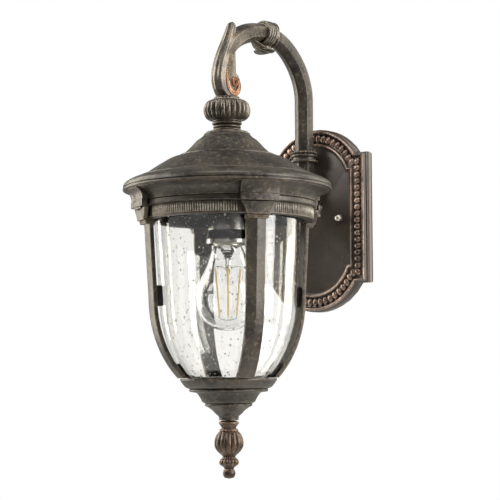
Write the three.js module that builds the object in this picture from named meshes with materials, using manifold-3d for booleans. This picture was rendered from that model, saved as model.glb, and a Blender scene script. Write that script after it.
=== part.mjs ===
// Outdoor wall lantern: arched backplate, hexagonal crook arm, bell canopy and a hinged cage of
// four ribs round a seeded glass bowl. Millimetres, +Z up. The origin is the centre of the
// mounting strap's back face: the wall is the plane Y = 0 and the lantern hangs towards -Y.
import * as THREE from 'three';
import { mergeVertices } from 'three/addons/utils/BufferGeometryUtils.js';
import Module from 'manifold-3d';

const wasm = await Module();
wasm.setup();

// ---------------------------------------------------------------- driving sizes
const GAP = 0.3; // play between neighbouring pieces
const RIM = 94.2; // outer radius of the canopy's rim: half the lantern's width
const FOOT = -151.5; // height of the joint between the ribs and the bottom cup
const BIG = 28; // facets round the large turned pieces
const MID = 16; // facets round the middle-sized ones
const SMALL = 10; // facets round rods, screws and bores
const wide = (radius) => (radius * RIM) / 94.2; // radii that grow with the lantern's width

const stud = { spacing: 63.5, radius: 2.05 };
const slotAt = stud.spacing / 2 + 12.75; // the wall slots lie outside the studs
const strap = { length: 2 * slotAt + 15, height: 22, thickness: 2, slotLength: 10, slotWidth: 5 };
const plate = {
  width: strap.length + 17, // overall width: the strap is hidden inside it
  side: 124, // height of the straight sides
  archRadius: 59,
  shoulder: 11.3, // flat step beside each arch
  rimDepth: 9.6, // straight outer side
  panelDepth: 13.2, // wall to the panel's face
  wall: 3,
};
const studTip = plate.panelDepth + 4.4; // the studs end inside the cap nuts
const gasket = { thickness: 2, inset: 0.8, band: 3.7 };
const groundScrew = { x: -14, shank: 2, head: 4.2, headHeight: 2.5 };

const HEX = 9.1; // corner radius of the arm's bar, flats facing +-X
const collarProud = 3.9; // how far the collar's foot stands out from the bar's corners
const arm = {
  hex: HEX,
  standoff: plate.panelDepth + 1.4 + collarProud + HEX, // wall to the rear upright's axis
  rimClear: 10.1, // between the rear upright and the canopy's rim
  crookRadius: 56.7,
  springing: 113.6, // height where the crook starts to bend
  bore: 3.4, // wire channel
  bossZ: 26, // height of the boss that fixes the arm to the plate
  bossRadius: 14,
  drop: 26, // how far the post's turned end hangs below the boss's axis
  collarZ: 54.5,
  collarHeight: 11,
};
const REACH = arm.standoff + arm.hex + arm.rimClear + RIM; // wall to the lantern's own axis
const neck = { top: 101.5, ballTop: 101.2, ballBottom: 81.6, ballRadius: 21.2, collarRadius: 13.8 };
const leaf = { halfWidth: 7.2, bevel: 1.6, belly: -REACH - 5, bellyZ: neck.top + 22.5 };
const knot = { radius: arm.hex + 3.2, groove: arm.hex + 2.1, length: 13 };
const nipple = { radius: 4.9, bore: 3.2, top: neck.top + 10.5, bottom: -4 };

const canopy = { top: 71, rimZ: 16.9, wall: 2 };
const crown = { bottom: 6, bore: wide(70.2), flange: 2 };
const ring = {
  top: crown.bottom - GAP, bottom: -10, ledge: wide(80), band: wide(78), bore: wide(69.8), lip: wide(65),
};
const ribAzimuths = [60, 150, 240, 330];
const HINGE_AZIMUTH = 330;
const CATCH_AZIMUTH = 150;
const rib = { thickness: 4, ridge: 1.2, topWidth: 18, footWidth: 16, foot: FOOT + GAP };
const head = {
  top: -0.8, bottomWidth: 20, topWidth: 31, outer: ring.ledge + 3, lower: ring.ledge + 2,
};
const WAIST = -80; // height where the slow taper of glass and cage turns into an ellipse
const cage = { top: ring.band - 1, waist: wide(72.5), drop: WAIST - FOOT + 20.5 };
const bowl = {
  rim: 2.4, wall: 2.2, top: ring.bore - 2.9, waist: cage.waist - 10.5, drop: WAIST - FOOT + 16.5,
  floor: FOOT - 5.3,
};
const hinge = { radius: ring.ledge + 3, z: -0.3, barrel: 2.3, pin: 1, knuckle: 4.1, reach: 9.3 };
const tongue = { inner: ring.ledge + 2.6, outer: ring.ledge + 6.6, halfWidth: 3.2, bottom: 3.2 };
const fork = { halfWidth: 4.2, cheek: 2, floor: -4, screwZ: 4.8, screwRadius: 1.3 };
const rod = { radius: 2.7, top: FOOT - 11.1, bottom: FOOT - 82.5 };
const cup = { bottom: FOOT - 37.5, seat: FOOT - 16.5, inset: 2.4, bore: rod.radius + GAP + 0.4 };

const bulb = { radius: 30, centre: -79, wall: 1, capRadius: 12.9, capTop: -11.3, neck: -32.8 };
const socket = {
  cupRadius: bulb.capRadius + 4.6, mouthRadius: bulb.capRadius + 6.6, cupWall: 1.2, top: 0, bottom: -31,
};

// ---------------------------------------------------------------- finishes
const bronze = { color: 0x45403a, roughness: 0.5, metalness: 0.75 };
const darkBronze = { color: 0x2f2b27, roughness: 0.45, metalness: 0.7 };
const copperRubbed = { color: 0x7a5a42, roughness: 0.5, metalness: 0.8 };
const zincSteel = { color: 0x9a9a94, roughness: 0.45, metalness: 0.9 };
const brass = { color: 0xb08d4a, roughness: 0.35, metalness: 0.95 };
const greenSteel = { color: 0x2f6b3a, roughness: 0.5, metalness: 0.6 };
const rubber = { color: 0x1b1a18, roughness: 0.85, metalness: 0 };
const foam = { color: 0x33322f, roughness: 0.95, metalness: 0 };
const porcelain = { color: 0xe6e1d6, roughness: 0.3, metalness: 0 };
const seededGlass = { color: 0xe9e6d2, roughness: 0.1, metalness: 0, transparent: true, opacity: 0.35 };
const clearGlass = { color: 0xf4f2ea, roughness: 0.05, metalness: 0, transparent: true, opacity: 0.3 };
const amber = { color: 0xe0a040, roughness: 0.4, metalness: 0 };
const nickel = { color: 0xb8b4aa, roughness: 0.35, metalness: 0.9 };
const leadJacket = { color: 0x1f1e1c, roughness: 0.7, metalness: 0 };

// ---------------------------------------------------------------- shape helpers
const V2 = (x, y) => new THREE.Vector2(x, y);
const inPlane = (y, z) => new THREE.Vector3(0, y, z);

function toSolid(geometry) {
  const bare = new THREE.BufferGeometry();
  bare.setAttribute('position', geometry.getAttribute('position').clone());
  if (geometry.index) bare.setIndex(geometry.index.clone());
  const merged = mergeVertices(bare, 1e-4);
  const index = merged.index.array;
  const kept = [];
  for (let i = 0; i < index.length; i += 3) {
    const [a, b, c] = [index[i], index[i + 1], index[i + 2]];
    if (a !== b && b !== c && c !== a) kept.push(a, b, c);
  }
  const vertProperties = Float32Array.from(merged.getAttribute('position').array);
  const triVerts = Uint32Array.from(kept);
  return new wasm.Manifold(new wasm.Mesh({ numProp: 3, vertProperties, triVerts }));
}

function toGeometry(solid) {
  const mesh = solid.getMesh();
  const geometry = new THREE.BufferGeometry();
  geometry.setAttribute('position', new THREE.BufferAttribute(mesh.vertProperties, 3));
  geometry.setIndex(new THREE.BufferAttribute(mesh.triVerts, 1));
  return geometry;
}

// a piece turned about Z from [radius, height] points that run up the outside
function turned(profile, facets) {
  const points = profile.map(([radius, height]) => V2(radius, height));
  return new THREE.LatheGeometry(points, facets).rotateX(Math.PI / 2);
}

const disc = (radius, low, high, facets) =>
  turned([[0, low], [radius, low], [radius, high], [0, high]], facets);
const tube = (outer, inner, low, high, facets) =>
  turned([[outer, low], [outer, high], [inner, high], [inner, low], [outer, low]], facets);

// points on a smooth curve through [radius, height] pairs
function smooth(pairs, steps) {
  const curve = new THREE.SplineCurve(pairs.map(([radius, height]) => V2(radius, height)));
  return curve.getPoints(steps).map((point) => [point.x, point.y]);
}

// a flat shape drawn in X and Z, from `front` (nearer the room) back to `back`
function slab(shape, back, front) {
  const depth = back - front;
  const geometry = new THREE.ExtrudeGeometry(shape, { depth, bevelEnabled: false, curveSegments: 6 });
  return geometry.rotateX(Math.PI / 2).translate(0, back, 0);
}

// a closed skin through loops of equal length, capped at both ends
function loft(loops) {
  const size = loops[0].length;
  const positions = loops.flat().flatMap((point) => [point.x, point.y, point.z]);
  const index = [];
  for (let level = 0; level + 1 < loops.length; level += 1) {
    for (let i = 0; i < size; i += 1) {
      const a = level * size + i;
      const b = level * size + ((i + 1) % size);
      index.push(a, b, a + size, b, b + size, a + size);
    }
  }
  const cap = (loop, offset, facing) => {
    const normal = loopNormal(loop).multiplyScalar(facing);
    const lying = Math.abs(normal.z) > 0.5;
    const flat = loop.map((point) => V2(point.x, lying ? point.y : point.z));
    for (const [i, j, k] of THREE.ShapeUtils.triangulateShape(flat, [])) {
      const side = new THREE.Triangle(loop[i], loop[j], loop[k]).getNormal(new THREE.Vector3());
      index.push(...(side.dot(normal) > 0 ? [i, j, k] : [i, k, j]).map((corner) => offset + corner));
    }
  };
  cap(loops[0], 0, -1);
  cap(loops[loops.length - 1], (loops.length - 1) * size, 1);
  const geometry = new THREE.BufferGeometry();
  geometry.setAttribute('position', new THREE.Float32BufferAttribute(positions, 3));
  geometry.setIndex(index);
  return geometry;
}

// which way a loop faces: the side from which its points run anticlockwise
function loopNormal(loop) {
  const normal = new THREE.Vector3();
  loop.forEach((point, i) => normal.add(point.clone().cross(loop[(i + 1) % loop.length])));
  return normal.normalize();
}

// an outline of [across, in-plane] points swept along a path in the plane X = 0
function sweep(outline, path, steps) {
  const loops = [];
  for (let i = 0; i <= steps; i += 1) {
    const centre = path.getPointAt(i / steps);
    const tangent = path.getTangentAt(i / steps);
    const normal = inPlane(tangent.z, -tangent.y);
    loops.push(outline.map(([x, u]) => centre.clone().addScaledVector(normal, u).setX(x)));
  }
  return loft(loops);
}

const ngon = (sides, radius) => Array.from({ length: sides }, (_, i) => {
  const angle = Math.PI / 2 + (2 * Math.PI * i) / sides;
  return [radius * Math.cos(angle), radius * Math.sin(angle)];
});

const hexShape = (radius) => new THREE.Shape(ngon(6, radius).map(([x, y]) => V2(x, y)));
const strut = (from, to, thick) =>
  new THREE.ExtrudeGeometry(hexShape(thick), { steps: 1, extrudePath: new THREE.LineCurve3(from, to) });
const upright = (shape, low, high) =>
  new THREE.ExtrudeGeometry(shape, { depth: high - low, bevelEnabled: false, curveSegments: 4 })
    .translate(0, 0, low);
const block = (x0, x1, y0, y1, z0, z1) =>
  new THREE.BoxGeometry(x1 - x0, y1 - y0, z1 - z0)
    .translate((x0 + x1) / 2, (y0 + y1) / 2, (z0 + z1) / 2);

// a quarter turn as one cubic curve, its handles pointing at the corner
function quarterTurn(from, corner, to) {
  const pull = 0.5523;
  const handleA = from.clone().lerp(corner, pull);
  const handleB = to.clone().lerp(corner, pull);
  return new THREE.CubicBezierCurve3(from, handleA, handleB, to);
}

function pathOf(...curves) {
  const path = new THREE.CurvePath();
  curves.forEach((curve) => path.add(curve));
  return path;
}

// ---------------------------------------------------------------- assembly tree
const lantern = new THREE.Group();
const axis = new THREE.Group(); // everything centred on the lantern's own axis
axis.position.set(0, -REACH, 0);
lantern.add(axis);

function piece(name, geometry, finish, parent = lantern) {
  const mesh = new THREE.Mesh(geometry, new THREE.MeshStandardMaterial(finish));
  mesh.name = name;
  parent.add(mesh);
  return mesh;
}

// a group whose +X points outwards at an azimuth, measured from -Y towards +X
function sector(azimuth) {
  const group = new THREE.Group();
  group.rotation.z = THREE.MathUtils.degToRad(azimuth - 90);
  axis.add(group);
  return group;
}
const sectors = Object.fromEntries(ribAzimuths.map((azimuth) => [azimuth, sector(azimuth)]));

// ---------------------------------------------------------------- backplate and wall fixing
// the plate's outline set in by `inset`: two straight sides, four shoulders and two arches
function plateOutline(inset, y, arcSteps = 10) {
  const halfWidth = plate.width / 2 - inset;
  const shoulderZ = plate.side / 2 - inset;
  const halfChordFull = plate.width / 2 - plate.shoulder;
  const centreZ = plate.side / 2 - Math.sqrt(plate.archRadius ** 2 - halfChordFull ** 2);
  const radius = plate.archRadius - inset;
  const lift = shoulderZ - centreZ;
  const start = Math.atan2(lift, Math.sqrt(radius ** 2 - lift ** 2));
  const points = [];
  const arch = (sign) => {
    points.push(new THREE.Vector3(sign * halfWidth, y, sign * shoulderZ));
    for (let i = 0; i <= arcSteps; i += 1) {
      const angle = start + ((Math.PI - 2 * start) * i) / arcSteps;
      const x = sign * radius * Math.cos(angle);
      points.push(new THREE.Vector3(x, y, sign * (centreZ + radius * Math.sin(angle))));
    }
    points.push(new THREE.Vector3(-sign * halfWidth, y, sign * shoulderZ));
  };
  arch(1);
  arch(-1);
  return points;
}

const outlineShape = (inset) =>
  new THREE.Shape(plateOutline(inset, 0).map((point) => V2(point.x, point.z)));

const bossBore = nipple.radius + GAP + 0.2;
const plateBack = -gasket.thickness - GAP;
const ceiling = -(plate.panelDepth - plate.wall - 0.4);
const plateRings = [
  [plate.wall, ceiling],
  [plate.wall, plateBack],
  [0, plateBack],
  [0, -plate.rimDepth],
  [1.6, -plate.rimDepth - 0.8],
  [1.8, -plate.panelDepth - 0.2],
  [4, -plate.panelDepth - 0.8],
  [4.6, -plate.panelDepth + 1.2],
  [13.9, -plate.panelDepth + 1.2],
  [14.3, -plate.panelDepth - 1],
  [16.2, -plate.panelDepth - 1],
  [16.8, -plate.panelDepth],
];
let plateSolid = toSolid(loft(plateRings.map(([inset, y]) => plateOutline(inset, y))));
const throughPlate = (radius, x, z, facets = SMALL) =>
  toSolid(disc(radius, 0, plate.panelDepth + 5, facets).rotateX(Math.PI / 2).translate(x, 0, z));
plateSolid = plateSolid.subtract(throughPlate(bossBore, 0, arm.bossZ));
for (const sign of [-1, 1]) {
  plateSolid = plateSolid.subtract(throughPlate(stud.radius + GAP, (sign * stud.spacing) / 2, 0));
}
piece('backplate', toGeometry(plateSolid), bronze);

const gasketShape = outlineShape(gasket.inset);
gasketShape.holes.push(new THREE.Path(outlineShape(gasket.inset + gasket.band).getPoints()));
piece('wall_gasket', slab(gasketShape, 0, -gasket.thickness), foam);

const strapShape = new THREE.Shape();
const strapEnd = strap.length / 2 - strap.height / 2;
strapShape.absarc(strapEnd, 0, strap.height / 2, -Math.PI / 2, Math.PI / 2, false);
strapShape.absarc(-strapEnd, 0, strap.height / 2, Math.PI / 2, (3 * Math.PI) / 2, false);
for (const sign of [-1, 1]) {
  const slot = new THREE.Path();
  const halfSlot = (strap.slotLength - strap.slotWidth) / 2;
  slot.absarc(sign * slotAt + halfSlot, 0, strap.slotWidth / 2, -Math.PI / 2, Math.PI / 2, false);
  slot.absarc(sign * slotAt - halfSlot, 0, strap.slotWidth / 2, Math.PI / 2, 1.5 * Math.PI, false);
  strapShape.holes.push(slot);
  const studHole = new THREE.Path();
  studHole.absarc((sign * stud.spacing) / 2, 0, stud.radius + GAP, 0, 2 * Math.PI, false);
  strapShape.holes.push(studHole);
}
const groundHole = new THREE.Path();
groundHole.absarc(groundScrew.x, 0, groundScrew.shank + GAP, 0, 2 * Math.PI, false);
strapShape.holes.push(groundHole);
piece('wall_strap', slab(strapShape, 0, -strap.thickness), zincSteel);

// fasteners that stand out from the wall: turned along Z, then laid down to point at -Y
const standingOut = (geometry, x, z) => geometry.rotateX(Math.PI / 2).translate(x, 0, z);
const hexNut = (flats, bore, low, high) => {
  const nut = toSolid(upright(hexShape(flats / Math.sqrt(3)), low, high));
  return toGeometry(nut.subtract(toSolid(disc(bore, low - 1, high + 1, SMALL))));
};
const sides = [['left', -1], ['right', 1]];
const strapFront = strap.thickness + GAP;
const capFoot = plate.panelDepth + GAP;
const capNutRadius = stud.radius + 1.7;
for (const [side, sign] of sides) {
  const x = (sign * stud.spacing) / 2;
  piece(`mounting_stud_${side}`, standingOut(disc(stud.radius, 0.3, studTip, SMALL), x, 0), zincSteel);
  const studNut = hexNut(7, stud.radius + GAP, strapFront, strapFront + 3);
  piece(`stud_nut_${side}`, standingOut(studNut, x, 0), zincSteel);
  const bore = stud.radius + GAP;
  const capNut = turned([
    [0, studTip + GAP], [bore, studTip + GAP], [bore, capFoot], [capNutRadius, capFoot],
    [capNutRadius, capFoot + 3], [capNutRadius - 0.6, capFoot + 4.8], [capNutRadius - 2, capFoot + 6.6],
    [0, capFoot + 7.2],
  ], SMALL);
  piece(`cap_nut_${side}`, standingOut(capNut, x, 0), copperRubbed);
}
const groundProfile = [
  [0, 0.3], [groundScrew.shank, 0.3], [groundScrew.shank, strapFront], [groundScrew.head, strapFront],
  [groundScrew.head, strapFront + groundScrew.headHeight - 1], [2.4, strapFront + groundScrew.headHeight],
  [0, strapFront + groundScrew.headHeight],
];
piece('ground_screw', standingOut(turned(groundProfile, SMALL), groundScrew.x, 0), greenSteel);

// ---------------------------------------------------------------- arm
const rearAxis = -arm.standoff;
const crookTopZ = arm.springing + arm.crookRadius;
const crookTop = inPlane(rearAxis - arm.crookRadius, crookTopZ);
const collarMid = arm.collarZ + arm.collarHeight / 2;
const rearUpright = new THREE.LineCurve3(inPlane(rearAxis, collarMid), inPlane(rearAxis, arm.springing));
const rearBend = quarterTurn(inPlane(rearAxis, arm.springing), inPlane(rearAxis, crookTopZ), crookTop);
const leafBelly = inPlane(leaf.belly, leaf.bellyZ);
const frontRun = crookTop.y - leaf.belly;
const frontBend = new THREE.CubicBezierCurve3(
  crookTop, inPlane(crookTop.y - 0.66 * frontRun, crookTopZ), inPlane(leaf.belly - 1, leaf.bellyZ + 26),
  leafBelly);
const frontDrop = new THREE.CubicBezierCurve3(
  leafBelly, inPlane(leaf.belly, leaf.bellyZ - 9), inPlane(-REACH, nipple.top + 4),
  inPlane(-REACH, neck.top));

// foot of the arm: a hexagonal post on a round boss that stands on the plate's panel
const bossFoot = plate.panelDepth + GAP;
const footTop = collarMid - GAP;
const postLow = arm.bossZ - arm.drop;
const standing = (profile) => toSolid(turned(profile, MID).rotateX(Math.PI / 2).translate(0, 0, arm.bossZ));
let foot = toSolid(upright(hexShape(arm.hex), postLow + 16, footTop).translate(0, rearAxis, 0));
const drop = [[0, 7.5], [5, 8.8], [arm.hex - 0.9, 12], [arm.hex - 0.9, 16.4], [0, 16.4]];
foot = foot.add(toSolid(turned(drop, MID).translate(0, rearAxis, postLow)));
foot = foot.add(standing([[0, bossFoot], [arm.bossRadius, bossFoot], [arm.bossRadius, bossFoot + 2],
  [arm.bossRadius - 5, bossFoot + 4.5], [arm.bossRadius - 6, -rearAxis], [0, -rearAxis]]));
const nippleDepth = 22;
const wireRun = disc(nipple.bore + 0.2, 0, -rearAxis, SMALL).rotateX(Math.PI / 2);
foot = foot.subtract(toSolid(disc(bossBore, 0, nippleDepth, SMALL).rotateX(Math.PI / 2)
  .translate(0, 0, arm.bossZ)));
foot = foot.subtract(toSolid(wireRun.translate(0, 0, arm.bossZ)));
foot = foot.subtract(toSolid(disc(arm.bore, arm.bossZ - 2, footTop + 1, SMALL).translate(0, rearAxis, 0)));
piece('arm_foot', toGeometry(foot), bronze);

const footNipple = tube(nipple.radius, nipple.bore, 5.2, nippleDepth - GAP, SMALL);
piece('foot_nipple', standingOut(footNipple, 0, arm.bossZ), zincSteel);
const footLocknut = hexNut(15, nipple.radius + GAP, 6, -ceiling - GAP);
piece('foot_locknut', standingOut(footLocknut, 0, arm.bossZ), zincSteel);

const collarProfile = [
  [collarProud, 0], [collarProud, 2.4], [1.9, 3], [1.9, 4.8], [3.5, 5.4], [3.5, 7.4], [1.8, 8], [2.3, 9.6],
  [1.5, arm.collarHeight],
].map(([proud, z]) => [arm.hex + proud, arm.collarZ + z]);
collarProfile.unshift([0, arm.collarZ]);
collarProfile.push([0, arm.collarZ + arm.collarHeight]);
const collarHole = upright(hexShape(arm.hex + 0.45), arm.collarZ - 1, arm.collarZ + arm.collarHeight + 1);
const collar = toSolid(turned(collarProfile, MID)).subtract(toSolid(collarHole));
piece('arm_collar', toGeometry(collar).translate(0, rearAxis, 0), bronze);

const rearPath = pathOf(rearUpright, rearBend);
const rearBore = pathOf(
  new THREE.LineCurve3(inPlane(rearAxis, collarMid - 5), inPlane(rearAxis, arm.springing)),
  rearBend,
  new THREE.LineCurve3(crookTop, inPlane(crookTop.y - 5, crookTopZ)),
);
const crook = toSolid(sweep(ngon(6, arm.hex), rearPath, 22))
  .subtract(toSolid(sweep(ngon(8, arm.bore), rearBore, 22)));
piece('crook_arm', toGeometry(crook), bronze);

// front of the crook: the bar runs into a cast leaf that ends in a volute above the neck
// its outline is measured from the lantern's axis and from the top of the neck
const leafPoint = (back, up) => V2(-REACH + back, neck.top + up);
const leafShape = new THREE.Shape();
leafShape.setFromPoints([leafPoint(9.5, 67), leafPoint(7.6, 70), leafPoint(4.6, 69.6), leafPoint(3, 67.5)]);
leafShape.splineThru(
  [leafPoint(-6.6, 47.5), leafPoint(-15.6, 27.5), leafPoint(-16.6, 13.5), leafPoint(-9.6, 3.1)]);
leafShape.lineTo(-REACH - 8, neck.top);
leafShape.lineTo(-REACH + 8, neck.top);
leafShape.splineThru([leafPoint(10, 15.5), leafPoint(8.5, 25.5), leafPoint(7.5, 30.5)]);
leafShape.lineTo(-REACH + 8, neck.top + 40.5);
leafShape.lineTo(-REACH + 12, neck.top + 50.5);
leafShape.closePath();
const leafBody = new THREE.ExtrudeGeometry(leafShape, {
  depth: 2 * (leaf.halfWidth - leaf.bevel),
  bevelThickness: leaf.bevel,
  bevelSize: leaf.bevel,
  bevelOffset: -leaf.bevel,
  bevelSegments: 1,
  curveSegments: 4,
});
// drawn with Y across and Z up, so it is stood up and turned to face +X
leafBody.rotateX(Math.PI / 2).rotateZ(Math.PI / 2).translate(leaf.bevel - leaf.halfWidth, 0, 0);
let scroll = toSolid(sweep(ngon(6, arm.hex), pathOf(frontBend), 12)).add(toSolid(leafBody));
scroll = scroll.subtract(toSolid(sweep(ngon(8, arm.bore), pathOf(frontBend, frontDrop), 26)));
const neckSocket = disc(nipple.radius + GAP, neck.top - 1, nipple.top + GAP, SMALL);
scroll = scroll.subtract(toSolid(neckSocket.translate(0, -REACH, 0)));
const rearHalf = block(-2 * arm.hex, 2 * arm.hex, crookTop.y - GAP, 0, neck.top, crookTopZ + 2 * arm.hex);
scroll = scroll.subtract(toSolid(rearHalf));
piece('scroll_arm', toGeometry(scroll), bronze);

// binding round the joint between the two halves of the crook, with a bud under it
const band = [[0, 0], [knot.groove, 0], [knot.radius, 2], [knot.groove, 4.4], [knot.radius, 6.6],
  [knot.groove, 8.8], [knot.radius, 11], [knot.groove, knot.length], [0, knot.length]];
const bandBody = toSolid(turned(band, MID).translate(0, 0, -knot.length / 2));
const bandHole = toSolid(upright(hexShape(arm.hex + 0.9), -knot.length, knot.length));
piece('knot_band', toGeometry(bandBody.subtract(bandHole)).rotateX(Math.PI / 2)
  .translate(0, crookTop.y, crookTopZ), bronze);
const budHeight = 3.6;
const bud = new THREE.SphereGeometry(1, 10, 6).scale(6, 10, budHeight);
piece('crook_bud', bud.translate(0, crookTop.y - 5, crookTopZ - knot.radius - GAP - budHeight), bronze);

// twin lead in one sleeve, from the plate's cavity through the whole arm to the socket
const cornerR = 5;
const leadPath = pathOf(
  new THREE.LineCurve3(inPlane(-4.6, arm.bossZ), inPlane(rearAxis + cornerR, arm.bossZ)),
  quarterTurn(inPlane(rearAxis + cornerR, arm.bossZ), inPlane(rearAxis, arm.bossZ),
    inPlane(rearAxis, arm.bossZ + cornerR)),
  new THREE.LineCurve3(inPlane(rearAxis, arm.bossZ + cornerR), inPlane(rearAxis, arm.springing)),
  rearBend,
  frontBend,
  frontDrop,
  new THREE.LineCurve3(inPlane(-REACH, neck.top), inPlane(-REACH, nipple.bottom - 1)),
);
piece('lead_wire', sweep(ngon(5, 1.5), leadPath, 84), leadJacket);

// ---------------------------------------------------------------- neck, canopy and crown
const ballMid = (neck.ballTop + neck.ballBottom) / 2;
const ballHalf = (neck.ballTop - neck.ballBottom) / 2;
const clearBore = nipple.radius + GAP;
const ballOutside = [];
for (let i = 0; i <= 6; i += 1) {
  const angle = -1.15 + (2.3 * i) / 6;
  const bulge = neck.ballRadius - 9 + 9 * Math.cos(angle);
  ballOutside.push([bulge, ballMid + (ballHalf * Math.sin(angle)) / Math.sin(1.15)]);
}
piece('fluted_ball', turned([[clearBore, neck.ballBottom], ...ballOutside, [clearBore, neck.ballTop],
  [clearBore, neck.ballBottom]], MID), bronze, axis);

const neckFoot = canopy.top + GAP;
const neckHead = neck.ballBottom - GAP;
const ringFoot = [neck.collarRadius - 0.9, neckFoot];
piece('neck_collar', turned([ringFoot, [neck.collarRadius - 0.9, neckFoot + 5.2],
  [neck.collarRadius - 1.8, neckFoot + 5.8], [neck.collarRadius, neckFoot + 6.4],
  [neck.collarRadius, neckHead], [clearBore, neckHead], [clearBore, neckFoot], ringFoot], MID), bronze, axis);

piece('lantern_nipple', tube(nipple.radius, nipple.bore, nipple.bottom, nipple.top, SMALL), zincSteel, axis);

const bell = [
  ...smooth([[19.2, canopy.top], [21.2, 68.2], [27.8, 62.8], [33, 57], [38.2, 52], [43, 49.3]], 5),
  ...smooth([[44.6, 48.6], [52, 46.2], [61, 41], [69.4, 35.4], [77, 30.2]], 3),
  ...smooth([[79.6, 29.6], [86, 27.6], [91.6, 25], [94.2, 21.6]], 2),
].map(([radius, z]) => [wide(radius), z]);
bell.push([RIM, canopy.rimZ + 1], [RIM - 0.8, canopy.rimZ]);
bell.reverse();
const bellInside = bell.slice(2)
  .filter((point, i) => i % 2 === 0)
  .map(([radius, z]) => [radius - canopy.wall, z - canopy.wall])
  .reverse();
const rimInner = RIM - canopy.wall - 0.1;
piece('canopy', turned([...bell, [clearBore, canopy.top], [clearBore, canopy.top - 3], ...bellInside,
  [rimInner, canopy.rimZ + 1], [rimInner, canopy.rimZ], bell[0]], BIG), bronze, axis);
piece('canopy_nut', hexNut(15, clearBore, canopy.top - 7.6, canopy.top - 3 - GAP), zincSteel, axis);

// crown: a cove under the canopy's rim with an inner flange that carries the socket bar
const coveTop = RIM - canopy.wall - 0.6;
const coveFoot = [wide(80.2), crown.bottom];
const cove = [
  coveFoot, [wide(80.6), 8.2], [wide(82.2), 11], [wide(85), 13.6], [wide(89), 15.6], [coveTop, 16.6],
  [coveTop, 18.4], [wide(88.6), 18.6], [wide(83.6), 16.2], [wide(79.8), 12.6],
  [wide(77.6), crown.bottom + crown.flange], [crown.bore, crown.bottom + crown.flange],
  [crown.bore, crown.bottom], coveFoot,
];
let crownSolid = toSolid(turned(cove, BIG));
const blockInner = ring.ledge + GAP + 0.1;
const corbel = new THREE.Shape([
  V2(blockInner, 0.2), V2(ring.ledge + 5.5, 0.2), V2(ring.ledge + 5.5, 5.8), V2(ring.ledge + 4.4, 6.6),
  V2(ring.ledge + 4.6, 9.6), V2(wide(86.2), 14), V2(wide(84.6), 15), V2(wide(79), 9),
  V2(wide(79), crown.bottom + 0.1), V2(blockInner, crown.bottom + 0.1),
]);
// a profile drawn in (outwards, up), given a width across the sector
function acrossSector(shape, halfWidth) {
  const depth = 2 * halfWidth;
  const geometry = new THREE.ExtrudeGeometry(shape, { depth, bevelEnabled: false, curveSegments: 5 });
  return geometry.rotateX(Math.PI / 2).translate(0, halfWidth, 0);
}
const turnedTo = (solid, azimuth) => solid.rotate([0, 0, azimuth - 90]);
const pinRod = (radius, y0, y1) =>
  toSolid(disc(radius, y0, y1, SMALL).rotateX(-Math.PI / 2).translate(hinge.radius, 0, hinge.z));
const corbelSolid = toSolid(acrossSector(corbel, 18));
for (const azimuth of ribAzimuths.filter((value) => value !== CATCH_AZIMUTH)) {
  let seat = corbelSolid;
  if (azimuth === HINGE_AZIMUTH) {
    for (const [low, high] of [[-hinge.reach, -hinge.knuckle], [hinge.knuckle, hinge.reach]]) {
      seat = seat.subtract(pinRod(hinge.barrel + GAP, low - GAP, high + GAP));
    }
    seat = seat.add(pinRod(hinge.barrel, -hinge.knuckle + GAP, hinge.knuckle - GAP));
    seat = seat.subtract(pinRod(hinge.pin + GAP, -hinge.reach - 1, hinge.reach + 1));
  }
  crownSolid = crownSolid.add(turnedTo(seat, azimuth));
}
const tongueMid = (tongue.inner + tongue.outer) / 2;
const tongueR = (tongue.outer - tongue.inner) / 2;
const tongueShape = new THREE.Shape();
tongueShape.moveTo(tongue.inner, 14);
tongueShape.absarc(tongueMid, tongue.bottom + tongueR, tongueR, Math.PI, 2 * Math.PI, false);
tongueShape.lineTo(tongue.outer, 12);
tongueShape.lineTo(wide(89.4), 16.4);
tongueShape.lineTo(wide(86), 16.4);
tongueShape.closePath();
const tongueSolid = toSolid(acrossSector(tongueShape, tongue.halfWidth))
  .add(toSolid(disc(3.6, 11.6, 16.5, SMALL).translate(tongue.outer, 0, 0)));
crownSolid = crownSolid.add(turnedTo(tongueSolid, CATCH_AZIMUTH));

// socket bar across the crown, screwed to its flange, with the nipple through the middle
const bar = {
  screwAt: crown.bore + 3.4, halfLength: crown.bore + 6.2, halfWidth: 7,
  low: crown.bottom + crown.flange + GAP, thickness: 2,
};
const barSector = sectors[60];
const screwHole = 1.9;
for (const sign of [-1, 1]) {
  const hole = toSolid(disc(screwHole, 0, 20, SMALL).translate(sign * bar.screwAt, 0, 0));
  crownSolid = crownSolid.subtract(turnedTo(hole, 60));
}
piece('crown_ring', toGeometry(crownSolid), bronze, axis);
let barSolid = toSolid(block(-bar.halfLength, bar.halfLength, -bar.halfWidth, bar.halfWidth,
  bar.low, bar.low + bar.thickness));
barSolid = barSolid.subtract(toSolid(disc(clearBore + 0.2, 0, 20, SMALL)));
for (const sign of [-1, 1]) {
  barSolid = barSolid.subtract(toSolid(disc(screwHole, 0, 20, SMALL).translate(sign * bar.screwAt, 0, 0)));
}
piece('socket_bar', toGeometry(barSolid), zincSteel, barSector);
const barTop = bar.low + bar.thickness;
const screwProfile = [[0, crown.bottom + 0.2], [1.5, crown.bottom + 0.2], [1.5, barTop + GAP],
  [3.3, barTop + GAP], [2.4, barTop + 2.4], [0, barTop + 2.6]];
for (const [side, sign] of sides) {
  const screw = turned(screwProfile, SMALL).translate(sign * bar.screwAt, 0, 0);
  piece(`bar_screw_${side}`, screw, zincSteel, barSector);
}
piece('bar_nut', hexNut(15, clearBore, barTop + GAP, barTop + 4.3), zincSteel, axis);
piece('coupling_nut', hexNut(15, clearBore, socket.top + GAP, bar.low - GAP), zincSteel, axis);

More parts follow.
